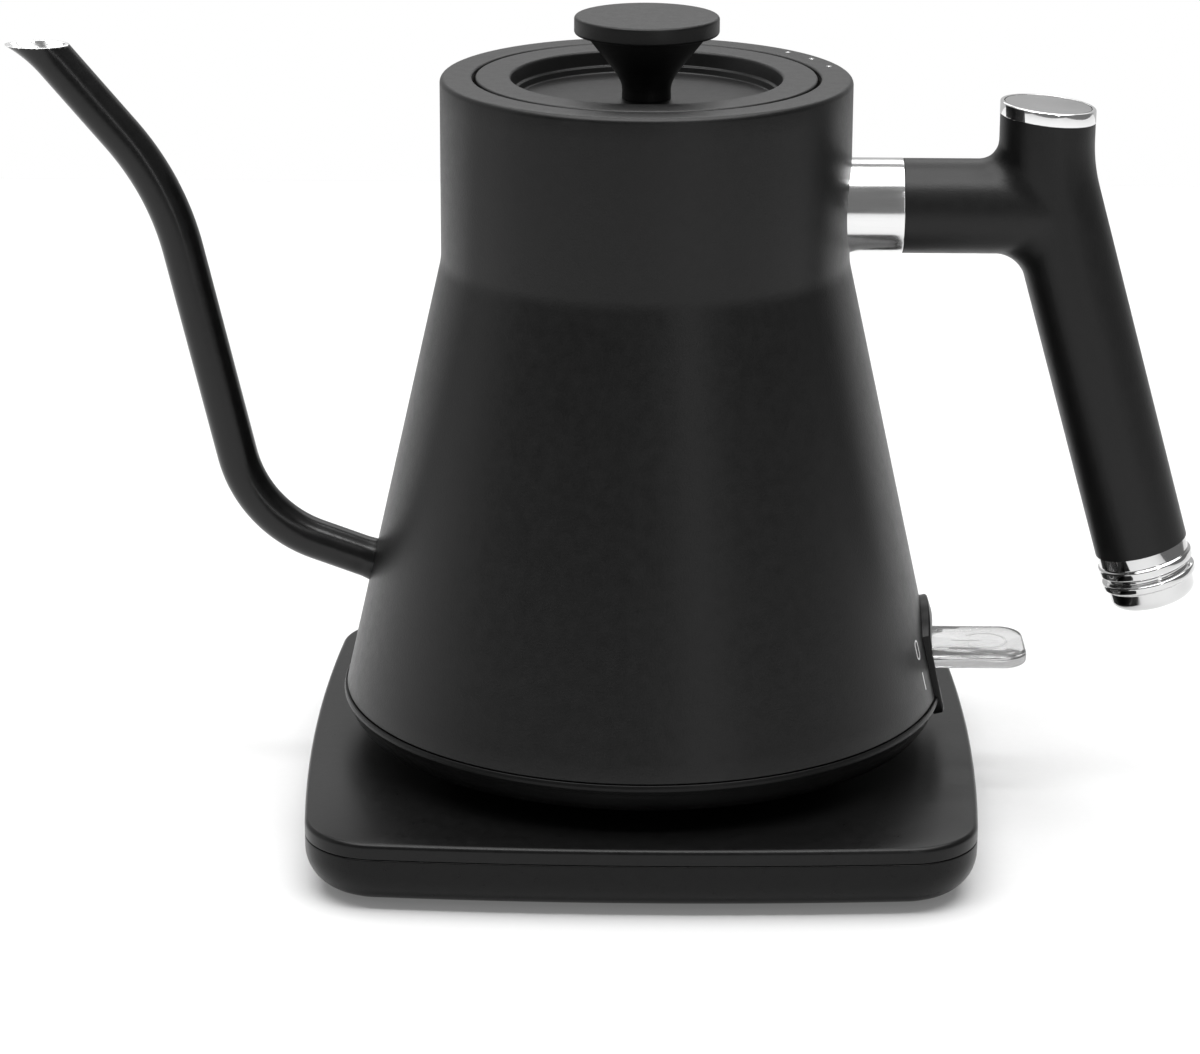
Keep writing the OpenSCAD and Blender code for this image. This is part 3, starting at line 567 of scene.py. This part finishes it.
def tube_skin(radius, mouth_z, turns=72):
    """Rings of a tube along the spout's route. The rings past the mouth's level slide back to it."""
    rings = []
    angles = np.radians(np.linspace(0, 360, turns, endpoint=False))
    for at, ahead, run in spout_route():
        across = np.array([ahead[1], -ahead[0]])
        r = radius + flare(run)
        ring = [(at[0] + across[0] * r * math.cos(a), r * math.sin(a), at[1] + across[1] * r * math.cos(a))
                for a in angles]
        if run is not None:
            previous = rings[-1]
            for i, (x, y, z) in enumerate(ring):
                if z > mouth_z:
                    px, py, pz = previous[i]
                    part = 0.0 if pz >= mouth_z - 1e-6 else (mouth_z - pz) / (z - pz)
                    ring[i] = (px + (x - px) * part, py + (y - py) * part, min(mouth_z, z))
        rings.append(ring)
    return rings


def spout():
    """The gooseneck: coated outside, bright inside, with a round lip and a small weld bead at the body."""
    lip_rise = 0.12
    outer = tube_skin(SPOUT_R, MOUTH_Z - lip_rise)
    inner = tube_skin(BORE_R, MOUTH_Z - lip_rise)
    lip = [((xo + xi) / 2, (yo + yi) / 2, (zo + zi) / 2 + lip_rise)
           for (xo, yo, zo), (xi, yi, zi) in zip(outer[-1], inner[-1])]
    bead_h, bead_run = 0.35, 2.2
    bead_end = -wall_r(ROOT[1]) - 4
    for ring in outer:
        for i, (x, y, z) in enumerate(ring):
            gap = math.hypot(x, y) - wall_r(z)
            if -1.5 < gap < bead_run and x > bead_end:
                bead = bead_h * (1 - max(0.0, gap) / bead_run) ** 2
                centre = np.array([x, 0, ROOT[1] + (ROOT[0] - x) * math.tan(math.radians(ROOT_SLOPE))])
                out = np.array([x, y, z]) - centre
                ring[i] = tuple(np.array([x, y, z]) + out / np.linalg.norm(out) * bead)
    bm = loft(outer + [lip] + inner[::-1], loop=True)
    route = np.array([(at[0], 0, at[1]) for at, _, _ in spout_route()])
    bm.normal_update()
    for face in bm.faces:
        middle = np.array(face.calc_center_median()) / MM
        nearest = route[np.argmin(np.sum((route - middle) ** 2, axis=1))]
        inside = np.dot(middle - nearest, face.normal) < 0
        face.material_index = 1 if inside or middle[2] > MOUTH_Z - 0.2 else 0
    piece("gooseneck_spout", bm, [spout_coat, mouth_steel], "kettle", "painted_steel", "spout", crease=50)


# ---- Handle ----

def handle_field(p):
    """Distance of points from the handle's surface: the arm blended into the bent post and grip."""
    x, y, z = p[:, 0], p[:, 1], p[:, 2]
    bend_r, fillet_r = 54.0, 6.5
    lean = math.radians(GRIP_LEAN)
    tangent = bend_r * math.tan(lean / 2)
    start = np.array([POST_X, GRIP_JOINT_Z + tangent])
    centre = start + np.array([bend_r, 0])
    finish = centre - bend_r * np.array([math.cos(lean), math.sin(lean)])
    down = np.array([math.sin(lean), -math.cos(lean)])

    flat = np.stack([x, z], 1)
    post = np.stack([np.full(len(x), POST_X), np.maximum(z, start[1])], 1)
    turn = np.clip(np.arctan2(centre[1] - z, centre[0] - x), 0, lean)
    bend = centre - bend_r * np.stack([np.cos(turn), np.sin(turn)], 1)
    run = np.maximum((flat - finish) @ down, 0)
    grip = finish + run[:, None] * down
    choices = np.stack([post, bend, grip])
    gaps = np.linalg.norm(choices - flat, axis=2)
    nearest = choices[np.argmin(gaps, axis=0), np.arange(len(x))]
    from_post = np.stack([x - nearest[:, 0], y, z - nearest[:, 1]], 1)
    from_arm = np.stack([np.maximum(x - POST_X, 0), y, z - ARM_Z], 1)
    post_gap = np.linalg.norm(from_post, axis=1)
    arm_gap = np.linalg.norm(from_arm, axis=1)
    aligned = np.sum(from_post * from_arm, axis=1) / np.maximum(post_gap * arm_gap, 1e-6)
    height = np.clip((z - ARM_Z) / ARM_R, -1, 1)
    fillet = (fillet_r - 1.5 * height) * np.clip(1 - aligned, 0.02, 1)
    a, b = post_gap - HANDLE_R, arm_gap - HANDLE_R
    dip = np.hypot(np.maximum(fillet - a, 0), np.maximum(fillet - b, 0))
    return np.maximum(fillet, np.minimum(a, b)) - dip


def settle(points, field, rounds=8, step=0.02):
    """Moves points onto a field's zero surface."""
    for _ in range(rounds):
        slope = np.stack([(field(points + step * axis) - field(points - step * axis)) / (2 * step)
                          for axis in np.eye(3)], 1)
        size = np.maximum(np.sum(slope ** 2, axis=1), 0.05)
        points = points - (np.clip(field(points), -1, 1) / size)[:, None] * slope
    return points


def grip_point(run):
    """The point on the grip's axis at a run below its joint with the post."""
    lean = math.radians(GRIP_LEAN)
    return Vector((POST_X + run * math.sin(lean), 0, GRIP_JOINT_Z - run * math.cos(lean)))


def handle():
    """Arm, post and grip as one moulding with soft junctions and flat ends.

    Three rough rods run past the ends, are meshed as one lump, drawn onto handle_field and cut flat.
    """
    down = grip_point(1) - grip_point(0)
    rough = merge(rod((COLLAR_END - 4, 0, ARM_Z), (POST_X, 0, ARM_Z), ARM_R),
                  rod((POST_X, 0, ARM_Z - 4), (POST_X, 0, POST_TOP + 6), ARM_R),
                  rod(grip_point(-8), grip_point(GRIP_RUN + 4), ARM_R))
    lump = stand_in(rough)
    remesh = lump.modifiers.new("skin", "REMESH")
    remesh.mode = "VOXEL"
    remesh.voxel_size = VOXEL * MM
    bm = worked(lump)
    points = settle(np.array([v.co for v in bm.verts]) / MM, handle_field)
    for vert, point in zip(bm.verts, points):
        vert.co = Vector(point) * MM
    lean = math.radians(CAP_LEAN)
    ends = (((COLLAR_END, 0, ARM_Z), Vector((-1, 0, 0))),
            ((POST_X, 0, POST_TOP), Vector((math.sin(lean), 0, math.cos(lean)))),
            (grip_point(GRIP_RUN), down))
    for at, outward in ends:
        cut = bmesh.ops.bisect_plane(bm, geom=bm.verts[:] + bm.edges[:] + bm.faces[:],
                                     plane_co=Vector(at) * MM, plane_no=outward, clear_outer=True)
        edges = [e for e in cut["geom_cut"] if isinstance(e, bmesh.types.BMEdge)]
        bmesh.ops.edgeloop_fill(bm, edges=edges)
    bmesh.ops.recalc_face_normals(bm, faces=bm.faces)
    piece("handle_grip", bm, [handle_coat], "kettle", "handle_coat", "handle_body", crease=40)


def handle_collar():
    """Polished sleeve between the neck and the arm, its near end shaped to the neck."""
    angles = np.radians(np.linspace(0, 360, 96, endpoint=False))
    hole_r = ARM_R - 3

    def ring(x, r):
        return [(x, r * math.cos(a), ARM_Z + r * math.sin(a)) for a in angles]

    def saddle(r, proud):
        """A ring that lies on the round neck, or a little proud of it."""
        return [(math.sqrt(NECK_R ** 2 - y * y) + proud, y, z) for _, y, z in ring(0, r)]

    edge = rounded([(COLLAR_END - 3, ARM_R), (COLLAR_END, ARM_R, 0.4), (COLLAR_END, hole_r, 0.1),
                    (COLLAR_END - 2, hole_r)], 5, loop=False)
    near_end = [saddle(hole_r, 0.0), saddle(ARM_R - 0.25, 0.12), saddle(ARM_R, 0.0)]
    bm = loft(near_end + [ring(x, r) for x, r in edge], loop=True)
    piece("chrome_collar", bm, [collar_chrome], "kettle", "polished_chrome", "handle_collar")


def on_post_top(outline, turns=96):
    """A turned shape sheared onto the sloping top of the post."""
    bm = lathe(outline, turns, loop=outline[0][0] > 0)
    slope = math.tan(math.radians(CAP_LEAN))
    for vert in bm.verts:
        vert.co.z += POST_TOP * MM - slope * vert.co.x
        vert.co.x += POST_X * MM
    return bm


def post_cap():
    """Chrome ring on the post, with a matt grey disc let into it."""
    disc_r = ARM_R - 1.15
    seat_z = CAP_T - 1.2
    hole_r, stem_r = 6, 5.9
    face_z = CAP_T - 0.05
    ring = rounded([(ARM_R, 0, 0.25), (ARM_R, CAP_T, 0.85), (disc_r + 0.2, CAP_T, 0.1),
                    (disc_r + 0.2, seat_z), (hole_r, seat_z), (hole_r, 0)], 6)
    piece("cap_ring_chrome", on_post_top(ring), [chrome], "kettle", "polished_chrome", "cap_ring")
    disc = rounded([(0, 0), (stem_r, 0), (stem_r, seat_z), (disc_r, seat_z), (disc_r, face_z, 0.15),
                    (0, face_z)], 4, loop=False)
    piece("cap_disc_grey", on_post_top(disc), [cap_grey], "kettle", "grey_disc", "cap_disc")


def end_cap():
    """Polished cap on the grip's end: a plain band, two beads with a groove between, a round nose."""
    r = HANDLE_R
    band_r, groove_r, nose_r = r - 0.35, r - 1.2, r - 0.85
    length = 14.9
    outline = rounded([
        (0, 0), (band_r, 0, 0.1), (band_r, 3.2, 0.5), (r + 0.3, 3.6, 0.55), (r + 0.3, 5.6, 0.55),
        (groove_r, 6.2, 0.5), (groove_r, 7.2, 0.5), (r + 0.25, 7.6, 0.55), (r + 0.25, 9.3, 0.55),
        (nose_r, 10.0, 0.4), (nose_r, length, 2.6), (0, length)], 6, loop=False)
    bm = lathe(outline, 112, loop=False)
    place(bm, grip_point(GRIP_RUN), grip_point(1) - grip_point(0))
    piece("grip_end_chrome", bm, [shaded_cap_chrome], "kettle", "polished_chrome", "grip_end_cap")


# ---- Switch ----

def lever():
    """Clear paddle with rounded edges. Its back end stops in the carrier."""
    corner, edge = 6.5, 1.1
    back = lever_low.x

    def outline(d):
        """The paddle from above, drawn in by d."""
        half = LEVER_HALF - d
        return ([(back + d, -half)]
                + arc((LEVER_REACH - corner, corner - LEVER_HALF), corner - d, -90, 0, 14)
                + arc((LEVER_REACH - corner, LEVER_HALF - corner), corner - d, 0, 90, 14)
                + [(back + d, half)])

    turns = np.radians(np.linspace(0, 90, 6))
    rise = [(edge * (1 - math.cos(a)), edge * (1 - math.sin(a))) for a in turns]
    low_side = [[(x, y, LEVER_BOTTOM + up) for x, y in outline(d)] for d, up in rise[::-1]]
    high_side = [[(x, y, LEVER_TOP - up) for x, y in outline(d)] for d, up in rise]
    bm = loft(low_side + high_side, caps=True)
    piece("clear_lever", bm, [acrylic], "lever", "clear_acrylic", "switch_lever", crease=25)


def power_mark():
    """Open ring with a bar, let into the top of the lever, its opening towards the body."""
    centre = (88.2, 0.3)
    ring_r, half_w = 5.5, 0.32
    top, bottom = LEVER_TOP + 0.02, LEVER_TOP - 0.25

    def stroke(line):
        """A bar of the mark's width along a line."""
        left, right = [], []
        line = [Vector(p) for p in line]
        for i, p in enumerate(line):
            ahead = (line[min(i + 1, len(line) - 1)] - line[max(i - 1, 0)]).normalized()
            side = Vector((-ahead.y, ahead.x)) * half_w
            left.append(p + side)
            right.append(p - side)
        rings = [[(a.x, a.y, bottom), (a.x, a.y, top), (b.x, b.y, top), (b.x, b.y, bottom)]
                 for a, b in zip(left, right)]
        return loft(rings, caps=True)

    ring = stroke(arc(centre, ring_r, -142, 142, 40))
    bar = stroke([(centre[0] - 8.6, centre[1]), (centre[0] - 1.2, centre[1])])
    piece("power_symbol", merge(ring, bar), [frost], "lever", "clear_acrylic")


def bezel():
    """Black surround of the lever's slot: flat-fronted, with an arched top and a brow over the slot."""
    lean = math.atan(CONE_SLOPE)
    origin_z = 40
    origin = Vector((wall_r(origin_z), 0, origin_z))
    out = Vector((math.cos(lean), 0, math.sin(lean)))
    up = Vector((-math.sin(lean), 0, math.cos(lean)))
    half, top, low = BEZEL_HALF, 13.6, -14.2
    arch, foot_r = 5.6, 3.4
    seat, edge = 1.5, 0.6

    def outline(d):
        """Points (y, v) round the bezel, drawn in by d."""
        w = half - d
        top_r = (w * w + arch * arch) / (2 * arch)
        turn = math.degrees(math.asin(w / top_r))
        side = [top - d - arch - k * 0.25 * (top - arch - low - foot_r) for k in range(1, 5)]
        points = arc((0, top - d - top_r), top_r, 90 - turn, 90 + turn, 32)
        points += [(-w, v) for v in side]
        points += arc((foot_r - half, low + foot_r), foot_r - d, 180, 270, 8)
        points += arc((half - foot_r, low + foot_r), foot_r - d, 270, 360, 8)
        points += [(w, v) for v in side[::-1]]
        return points

    def window():
        """The slot's outline, one point towards each point of the bezel's outline."""
        centre = ((SLOT_LOW + SLOT_HIGH) / 2 - origin_z) / math.cos(lean)
        w, h = SLOT_HALF - 0.2, (SLOT_HIGH - SLOT_LOW) / 2
        points = []
        for y, v in outline(1.2):
            dy, dv = y, v - centre
            k = min(w / max(abs(dy), 1e-6), h / max(abs(dv), 1e-6))
            points.append((dy * k, centre + dv * k))
        return points

    def sunk(points, depth):
        """Places points at a depth under the body's surface."""
        placed = []
        for y, v in points:
            flat = origin + up * v
            sag = flat.x - math.sqrt(max(flat.x ** 2 - y * y, 0))
            placed.append(tuple(flat + Vector((0, y, 0)) - out * (depth + sag)))
        return placed

    def faced(points, drop):
        """Places points at a drop under the flat front, which swells into a brow over the slot."""
        heights = (low, -12.2, 3, 5, 8, 9.6, top)
        swell = (-0.7, 0.1, 0.1, 0.8, 1.7, 1.95, 1.6)
        placed = []
        for y, v in points:
            brow = float(np.interp(v, heights, swell))
            front = 0.4 + brow * (1 - 0.8 * (y / half) ** 2)
            placed.append(tuple(origin + up * v + Vector((0, y, 0)) + out * (front - drop)))
        return placed

    turns = np.radians(np.linspace(0, 90, 6))
    rings = [sunk(outline(0), seat)]
    rings += [faced(outline(edge * (1 - math.cos(a))), edge * (1 - math.sin(a))) for a in turns]
    for part in (0.15, 0.3, 0.45, 0.6, 0.8):
        rings.append(faced([(y0 + part * (y1 - y0), v0 + part * (v1 - v0))
                            for (y0, v0), (y1, v1) in zip(outline(edge), window())], 0))
    rings += [faced(window(), 0), sunk(window(), seat)]
    bm = loft(rings, loop=True)
    piece("switch_surround", bm, [bezel_plastic], "kettle", "black_moulding", "switch_bezel", crease=35)


# ---- Skirt ----

def skirt():
    """Black ring round the kettle's foot, with a fine lip at the body and a tapering band below."""
    r = skirt_high.x
    low = skirt_low.z
    wall = wall_r(EDGE_Z)
    spigot_top, spigot_in = 37.5, 72.4
    flange_top, flange_in = 28.2, 60.0
    band = arc((r - 10.7, EDGE_Z), 10.3, -16, -50, 14)
    outline = rounded([
        (wall - SHEET - 0.05, EDGE_Z - 0.3), (wall + 0.15, EDGE_Z - 0.3), (wall + 0.15, EDGE_Z - 0.05, 0.1),
        (wall + 0.5, EDGE_Z - 0.1, 0.3), (r, EDGE_Z - 0.85, 0.4), (r, EDGE_Z - 1.5, 0.4),
        (r - 0.3, EDGE_Z - 2.1), *band[:-1],
        (band[-1][0], low, 0.3), (COVER_R, low, 0.2), (COVER_R, low + COVER_T), (flange_in, low + COVER_T),
        (flange_in, flange_top), (spigot_in, flange_top + 0.6), (spigot_in, spigot_top),
        (wall_r(spigot_top) - SHEET - 0.05, spigot_top)], 6)
    bm = carve(lathe(outline, turns=224), slot_cutter(SLOT_LOW, SLOT_LOW + 20))
    piece("foot_skirt", bm, [skirt_plastic], "kettle", "black_moulding", "skirt_ring")


# ---- Lid ----

def lid():
    """Flat ring with a dish pressed into it, and the waisted knob."""
    thick, screw_r = 1.5, 1.6
    under_dish, under_rim, skirt_in = DISH_FLOOR_Z - thick, RIM_Z - 2, LID_R - thick
    cover = rounded([
        (screw_r, under_dish), (DISH_R + 0.4, under_dish, 0.5), (DISH_R + 2, under_rim, 0.5),
        (skirt_in, under_rim, 0.3), (skirt_in, lid_low.z), (LID_R, lid_low.z, 0.2), (LID_R, RIM_Z, 0.55),
        (DISH_R + 0.6, RIM_Z, 0.9), (DISH_R, DISH_STEP_Z, 0.5), (DISH_R - 0.7, DISH_STEP_Z - 0.1, 0.35),
        (DISH_R - 1.1, DISH_FLOOR_Z, 0.5), (screw_r, DISH_FLOOR_Z)], 6)
    piece("lid_top", lathe(cover, 224), [coat], "lid", "painted_steel", "lid_cover")

    edge = KNOB_TOP - 4.45
    knob = rounded([
        (0, DISH_FLOOR_Z), (6.1, DISH_FLOOR_Z, 0.1), (6.0, 187.0, 8.0), (8.0, 190.5, 12.0),
        (13.4, 197.2, 9.0), (15.2, edge, 0.6), (KNOB_R, edge, 0.75), (KNOB_R, KNOB_TOP, 0.8),
        (0, KNOB_TOP)], 9, loop=False)
    piece("knob_turned", lathe(split_long(knob, 3.0, loop=False), 128, loop=False), [coat], "lid",
          "painted_steel", "lid_knob")


# ---- Power base ----

def base_outline(d):
    """Four bowed sides and four round corners, drawn in by d."""
    bow_r = (BASE_HALF ** 2 + SIDE_BOW ** 2) / (2 * SIDE_BOW)
    reach = bow_r - BASE_HALF
    corner_at = (math.sqrt(2 * (bow_r - CORNER_R) ** 2 - reach ** 2) - reach) / 2
    turn = math.degrees(math.atan2(corner_at, corner_at + reach))
    quarter = (arc((-reach, 0), bow_r - d, -turn, turn, 28)[:-1]
               + arc((corner_at, corner_at), CORNER_R - d, turn, 90 - turn, 24)[:-1])
    points = []
    for k in range(4):
        c, s = round(math.cos(k * math.pi / 2)), round(math.sin(k * math.pi / 2))
        points += [(x * c - y * s, x * s + y * c) for x, y in quarter]
    return points


def base_ring(d, z):
    """The base's outline, drawn in by d, at height z."""
    return [(x, y, z) for x, y in base_outline(d)]


def base_circle(r, z):
    """A circle with its points towards those of the base's outline."""
    return [(r * x / math.hypot(x, y), r * y / math.hypot(x, y), z) for x, y in base_outline(0)]


def base_top():
    """The flat cover, with a rounded edge over the seam and a hole for the socket's boss."""
    under, chamfer = SEAM_Z + 1.5, 0.3
    profile = rounded([(BASE_WALL, under), (BASE_WALL, SEAM_Z, 0.1), (0, SEAM_Z + 0.05, 0.3),
                       (0, BASE_TOP, 1.3), (6, BASE_TOP)], 7, loop=False)
    rings = [base_ring(d, z) for d, z in profile]
    rings += [base_circle(r, BASE_TOP) for r in (60, 40, BOSS_HOLE_R + chamfer)]
    rings += [base_circle(BOSS_HOLE_R, BASE_TOP - chamfer), base_circle(BOSS_HOLE_R, under)]
    bm = loft(rings, loop=True)
    piece("base_top_moulding", bm, [moulding], "base", "black_moulding", "base_top_cover")


def base_bottom():
    """The lower shell, with the foot's groove and holes for the lead, the screws and spilt water."""
    side = rounded([(BASE_WALL, SEAM_Z - 3), (BASE_WALL, SEAM_Z - 0.1, 0.2), (0, SEAM_Z - 0.05, 0.35),
                    (0, SHELL_BOTTOM + ROUND_OVER)], 6, loop=False)
    side += [(ROUND_OVER * (1 - math.cos(a)), SHELL_BOTTOM + ROUND_OVER * (1 - math.sin(a)))
             for a in np.radians(np.linspace(7.5, 90, 12))]
    groove_z, inside_z = foot_high.z, SHELL_BOTTOM + BASE_WALL
    groove_out, groove_in = foot_high.x + 0.2, FOOT_IN_R - 0.2
    rings = [base_ring(d, z) for d, z in side]
    rings += [base_circle(r, z) for r, z in (
        (groove_out, SHELL_BOTTOM), (groove_out, groove_z), (groove_in, groove_z), (groove_in, SHELL_BOTTOM),
        (30, SHELL_BOTTOM), (0, SHELL_BOTTOM), (0, inside_z), (50, inside_z))]
    rings += [base_ring(12, inside_z), base_ring(4.5, inside_z + BASE_WALL)]
    bm = loft(rings, loop=True)
    screw_at, screw_r = 60, 3.3
    drain_ring_r, drain_r = 36, 2.2
    lead_r = 4.65
    cutters = [rod((0, 76, CORD_Z), (0, 90, CORD_Z), lead_r)]
    cutters += [rod((x, y, -1), (x, y, 5), screw_r, 40)
                for x in (-screw_at, screw_at) for y in (-screw_at, screw_at)]
    cutters += [rod(about_z(drain_ring_r, a, -1), about_z(drain_ring_r, a, 7), drain_r, 32)
                for a in range(0, 360, 45)]
    bm = carve(bm, *cutters)
    piece("base_bottom_moulding", bm, [shaded_side_moulding], "base", "black_moulding", "base_bottom_shell")


def foot():
    """The rubber ring that the base stands on."""
    outline = rounded([(foot_high.x, 0, 0.5), (foot_high.x, foot_high.z, 0.1),
                       (FOOT_IN_R, foot_high.z, 0.1), (FOOT_IN_R, 0, 0.5)], 5)
    piece("foot_ring_rubber", lathe(outline, 160), [rubber], "base", "black_rubber", "foot_ring")


# ---- CAD nodes that stay, each with its finish ----

KEPT_FINISHES = {
    "base_socket": dark_plastic, "base_contacts": brass, "base_screws": zinc, "cord_gland": rubber,
    "cord_clamp": dark_plastic, "clamp_screws": zinc, "connector_shutter": red_plastic,
    "floor_plate": steel, "heat_spreader": aluminium, "heating_element": aluminium,
    "element_terminals": brass, "control_housing": cream, "dry_boil_discs": zinc,
    "steam_tube": steel, "steam_grommet": red_silicone, "steam_disc": zinc, "switch_frame": cream,
    "kettle_plug": dark_plastic, "plug_contacts": brass, "bottom_cover": skirt_plastic,
    "bottom_screws": zinc, "lever_pin": zinc, "rocker_pin": zinc, "indicator_lamp": lamp_glass,
    "handle_bracket": zinc, "handle_nut": zinc, "end_cap_stud": zinc, "lid_plate": steel,
    "lid_seal": silicone, "knob_screw": zinc, "lever_carrier": cream, "trip_rocker": red_plastic,
}


def finish_kept_nodes():
    """Gives each CAD node that stays its material."""
    for name, material in KEPT_FINISHES.items():
        mesh = nodes[name].data
        mesh.materials.clear()
        mesh.materials.append(material)


# ---- Studio ----

def floor():
    """A plain pale sheet under the base, in metres."""
    half_w, front, back = 1.1, -1.3, 0.7
    mesh = bpy.data.meshes.new("floor")
    corners = [(-half_w, front, 0), (half_w, front, 0), (half_w, back, 0), (-half_w, back, 0)]
    mesh.from_pydata(corners, [], [(0, 1, 2, 3)])
    mesh.materials.append(paper)
    obj = bpy.data.objects.new("floor", mesh)
    bpy.context.scene.collection.objects.link(obj)


def softbox(name, at, towards, width, height, power):
    """A rectangular lamp at a place, turned towards a point, in metres and watts."""
    data = bpy.data.lights.new(name, "AREA")
    data.shape = "RECTANGLE"
    data.size, data.size_y, data.energy = width, height, power
    obj = bpy.data.objects.new(name, data)
    obj.location = at
    obj.rotation_euler = (Vector(towards) - Vector(at)).to_track_quat("-Z", "Y").to_euler()
    bpy.context.scene.collection.objects.link(obj)


def surroundings():
    """Light grey behind and to the left, dim grey elsewhere. The camera itself sees plain white."""
    world = bpy.data.worlds.new("studio")
    world.use_nodes = True
    bpy.context.scene.world = world
    tree = world.node_tree
    link = tree.links.new
    brightest_way = (-0.34, 0.94, -0.35)
    dim, bright = 0.19, 0.57
    direction = tree.nodes.new("ShaderNodeTexCoord")
    facing = tree.nodes.new("ShaderNodeVectorMath")
    facing.operation = "DOT_PRODUCT"
    facing.inputs[1].default_value = brightest_way
    link(direction.outputs["Generated"], facing.inputs[0])
    fade = tree.nodes.new("ShaderNodeMapRange")
    fade.interpolation_type = "SMOOTHSTEP"
    fade.inputs["From Min"].default_value = 0.0
    fade.inputs["From Max"].default_value = 0.55
    fade.inputs["To Min"].default_value = dim
    fade.inputs["To Max"].default_value = bright
    link(facing.outputs["Value"], fade.inputs["Value"])
    seen = tree.nodes.new("ShaderNodeLightPath")
    pick = tree.nodes.new("ShaderNodeMix")
    pick.data_type = "RGBA"
    colour_a, colour_b, colour_out = pick.inputs[6], pick.inputs[7], pick.outputs[2]
    link(seen.outputs["Is Camera Ray"], pick.inputs["Factor"])
    link(fade.outputs["Result"], colour_a)
    colour_b.default_value = (1, 1, 1, 1)
    link(colour_out, tree.nodes["Background"].inputs["Color"])


def camera():
    """The photograph's angle: from the front, 18 degrees above the horizontal, slightly rolled."""
    at = Vector((-0.7, -954.8, 382.1)) * MM
    yaw, pitch, roll = math.radians(-0.619), math.radians(17.992), math.radians(0.236)
    ahead = Vector((math.sin(yaw) * math.cos(pitch), math.cos(yaw) * math.cos(pitch), -math.sin(pitch)))
    right = ahead.cross(Vector((0, 0, 1))).normalized()
    up = right.cross(ahead)
    tilted_right = right * math.cos(roll) + up * math.sin(roll)
    tilted_up = up * math.cos(roll) - right * math.sin(roll)
    data = bpy.data.cameras.new("camera")
    data.sensor_width = 36
    data.lens = 117.81
    obj = bpy.data.objects.new("camera", data)
    axes = Matrix((tilted_right, tilted_up, -ahead)).transposed()
    obj.matrix_world = Matrix.Translation(at) @ axes.to_4x4()
    bpy.context.scene.collection.objects.link(obj)
    bpy.context.scene.camera = obj


def studio():
    """Floor, surroundings, five softboxes and the camera."""
    floor()
    surroundings()
    softbox("overhead", (0, 0, 1.8), (0, 0, 0), 2.4, 1.7, 50)
    softbox("edge_strip", (0, -0.55, 1.5), (0, 0, 0.15), 1.6, 0.12, 8.0)
    softbox("left_side", (-1.6, -0.1, 0.7), (0, 0, 0.1), 0.8, 1.2, 1.0)
    softbox("front_strip", (0.64, -1.45, 0.75), (0, 0, 0.12), 0.11, 1.5, 2.4)
    softbox("behind", (0, 1.1, 0.95), (0, 0, 0.15), 1.4, 0.5, 3.5)
    camera()
    bpy.context.scene.view_settings.view_transform = "Standard"


body_shell()
vent_eyelets()
body_marks()
spout()
handle()
handle_collar()
post_cap()
end_cap()
lever()
power_mark()
bezel()
skirt()
lid()
base_top()
base_bottom()
foot()
finish_kept_nodes()
studio()
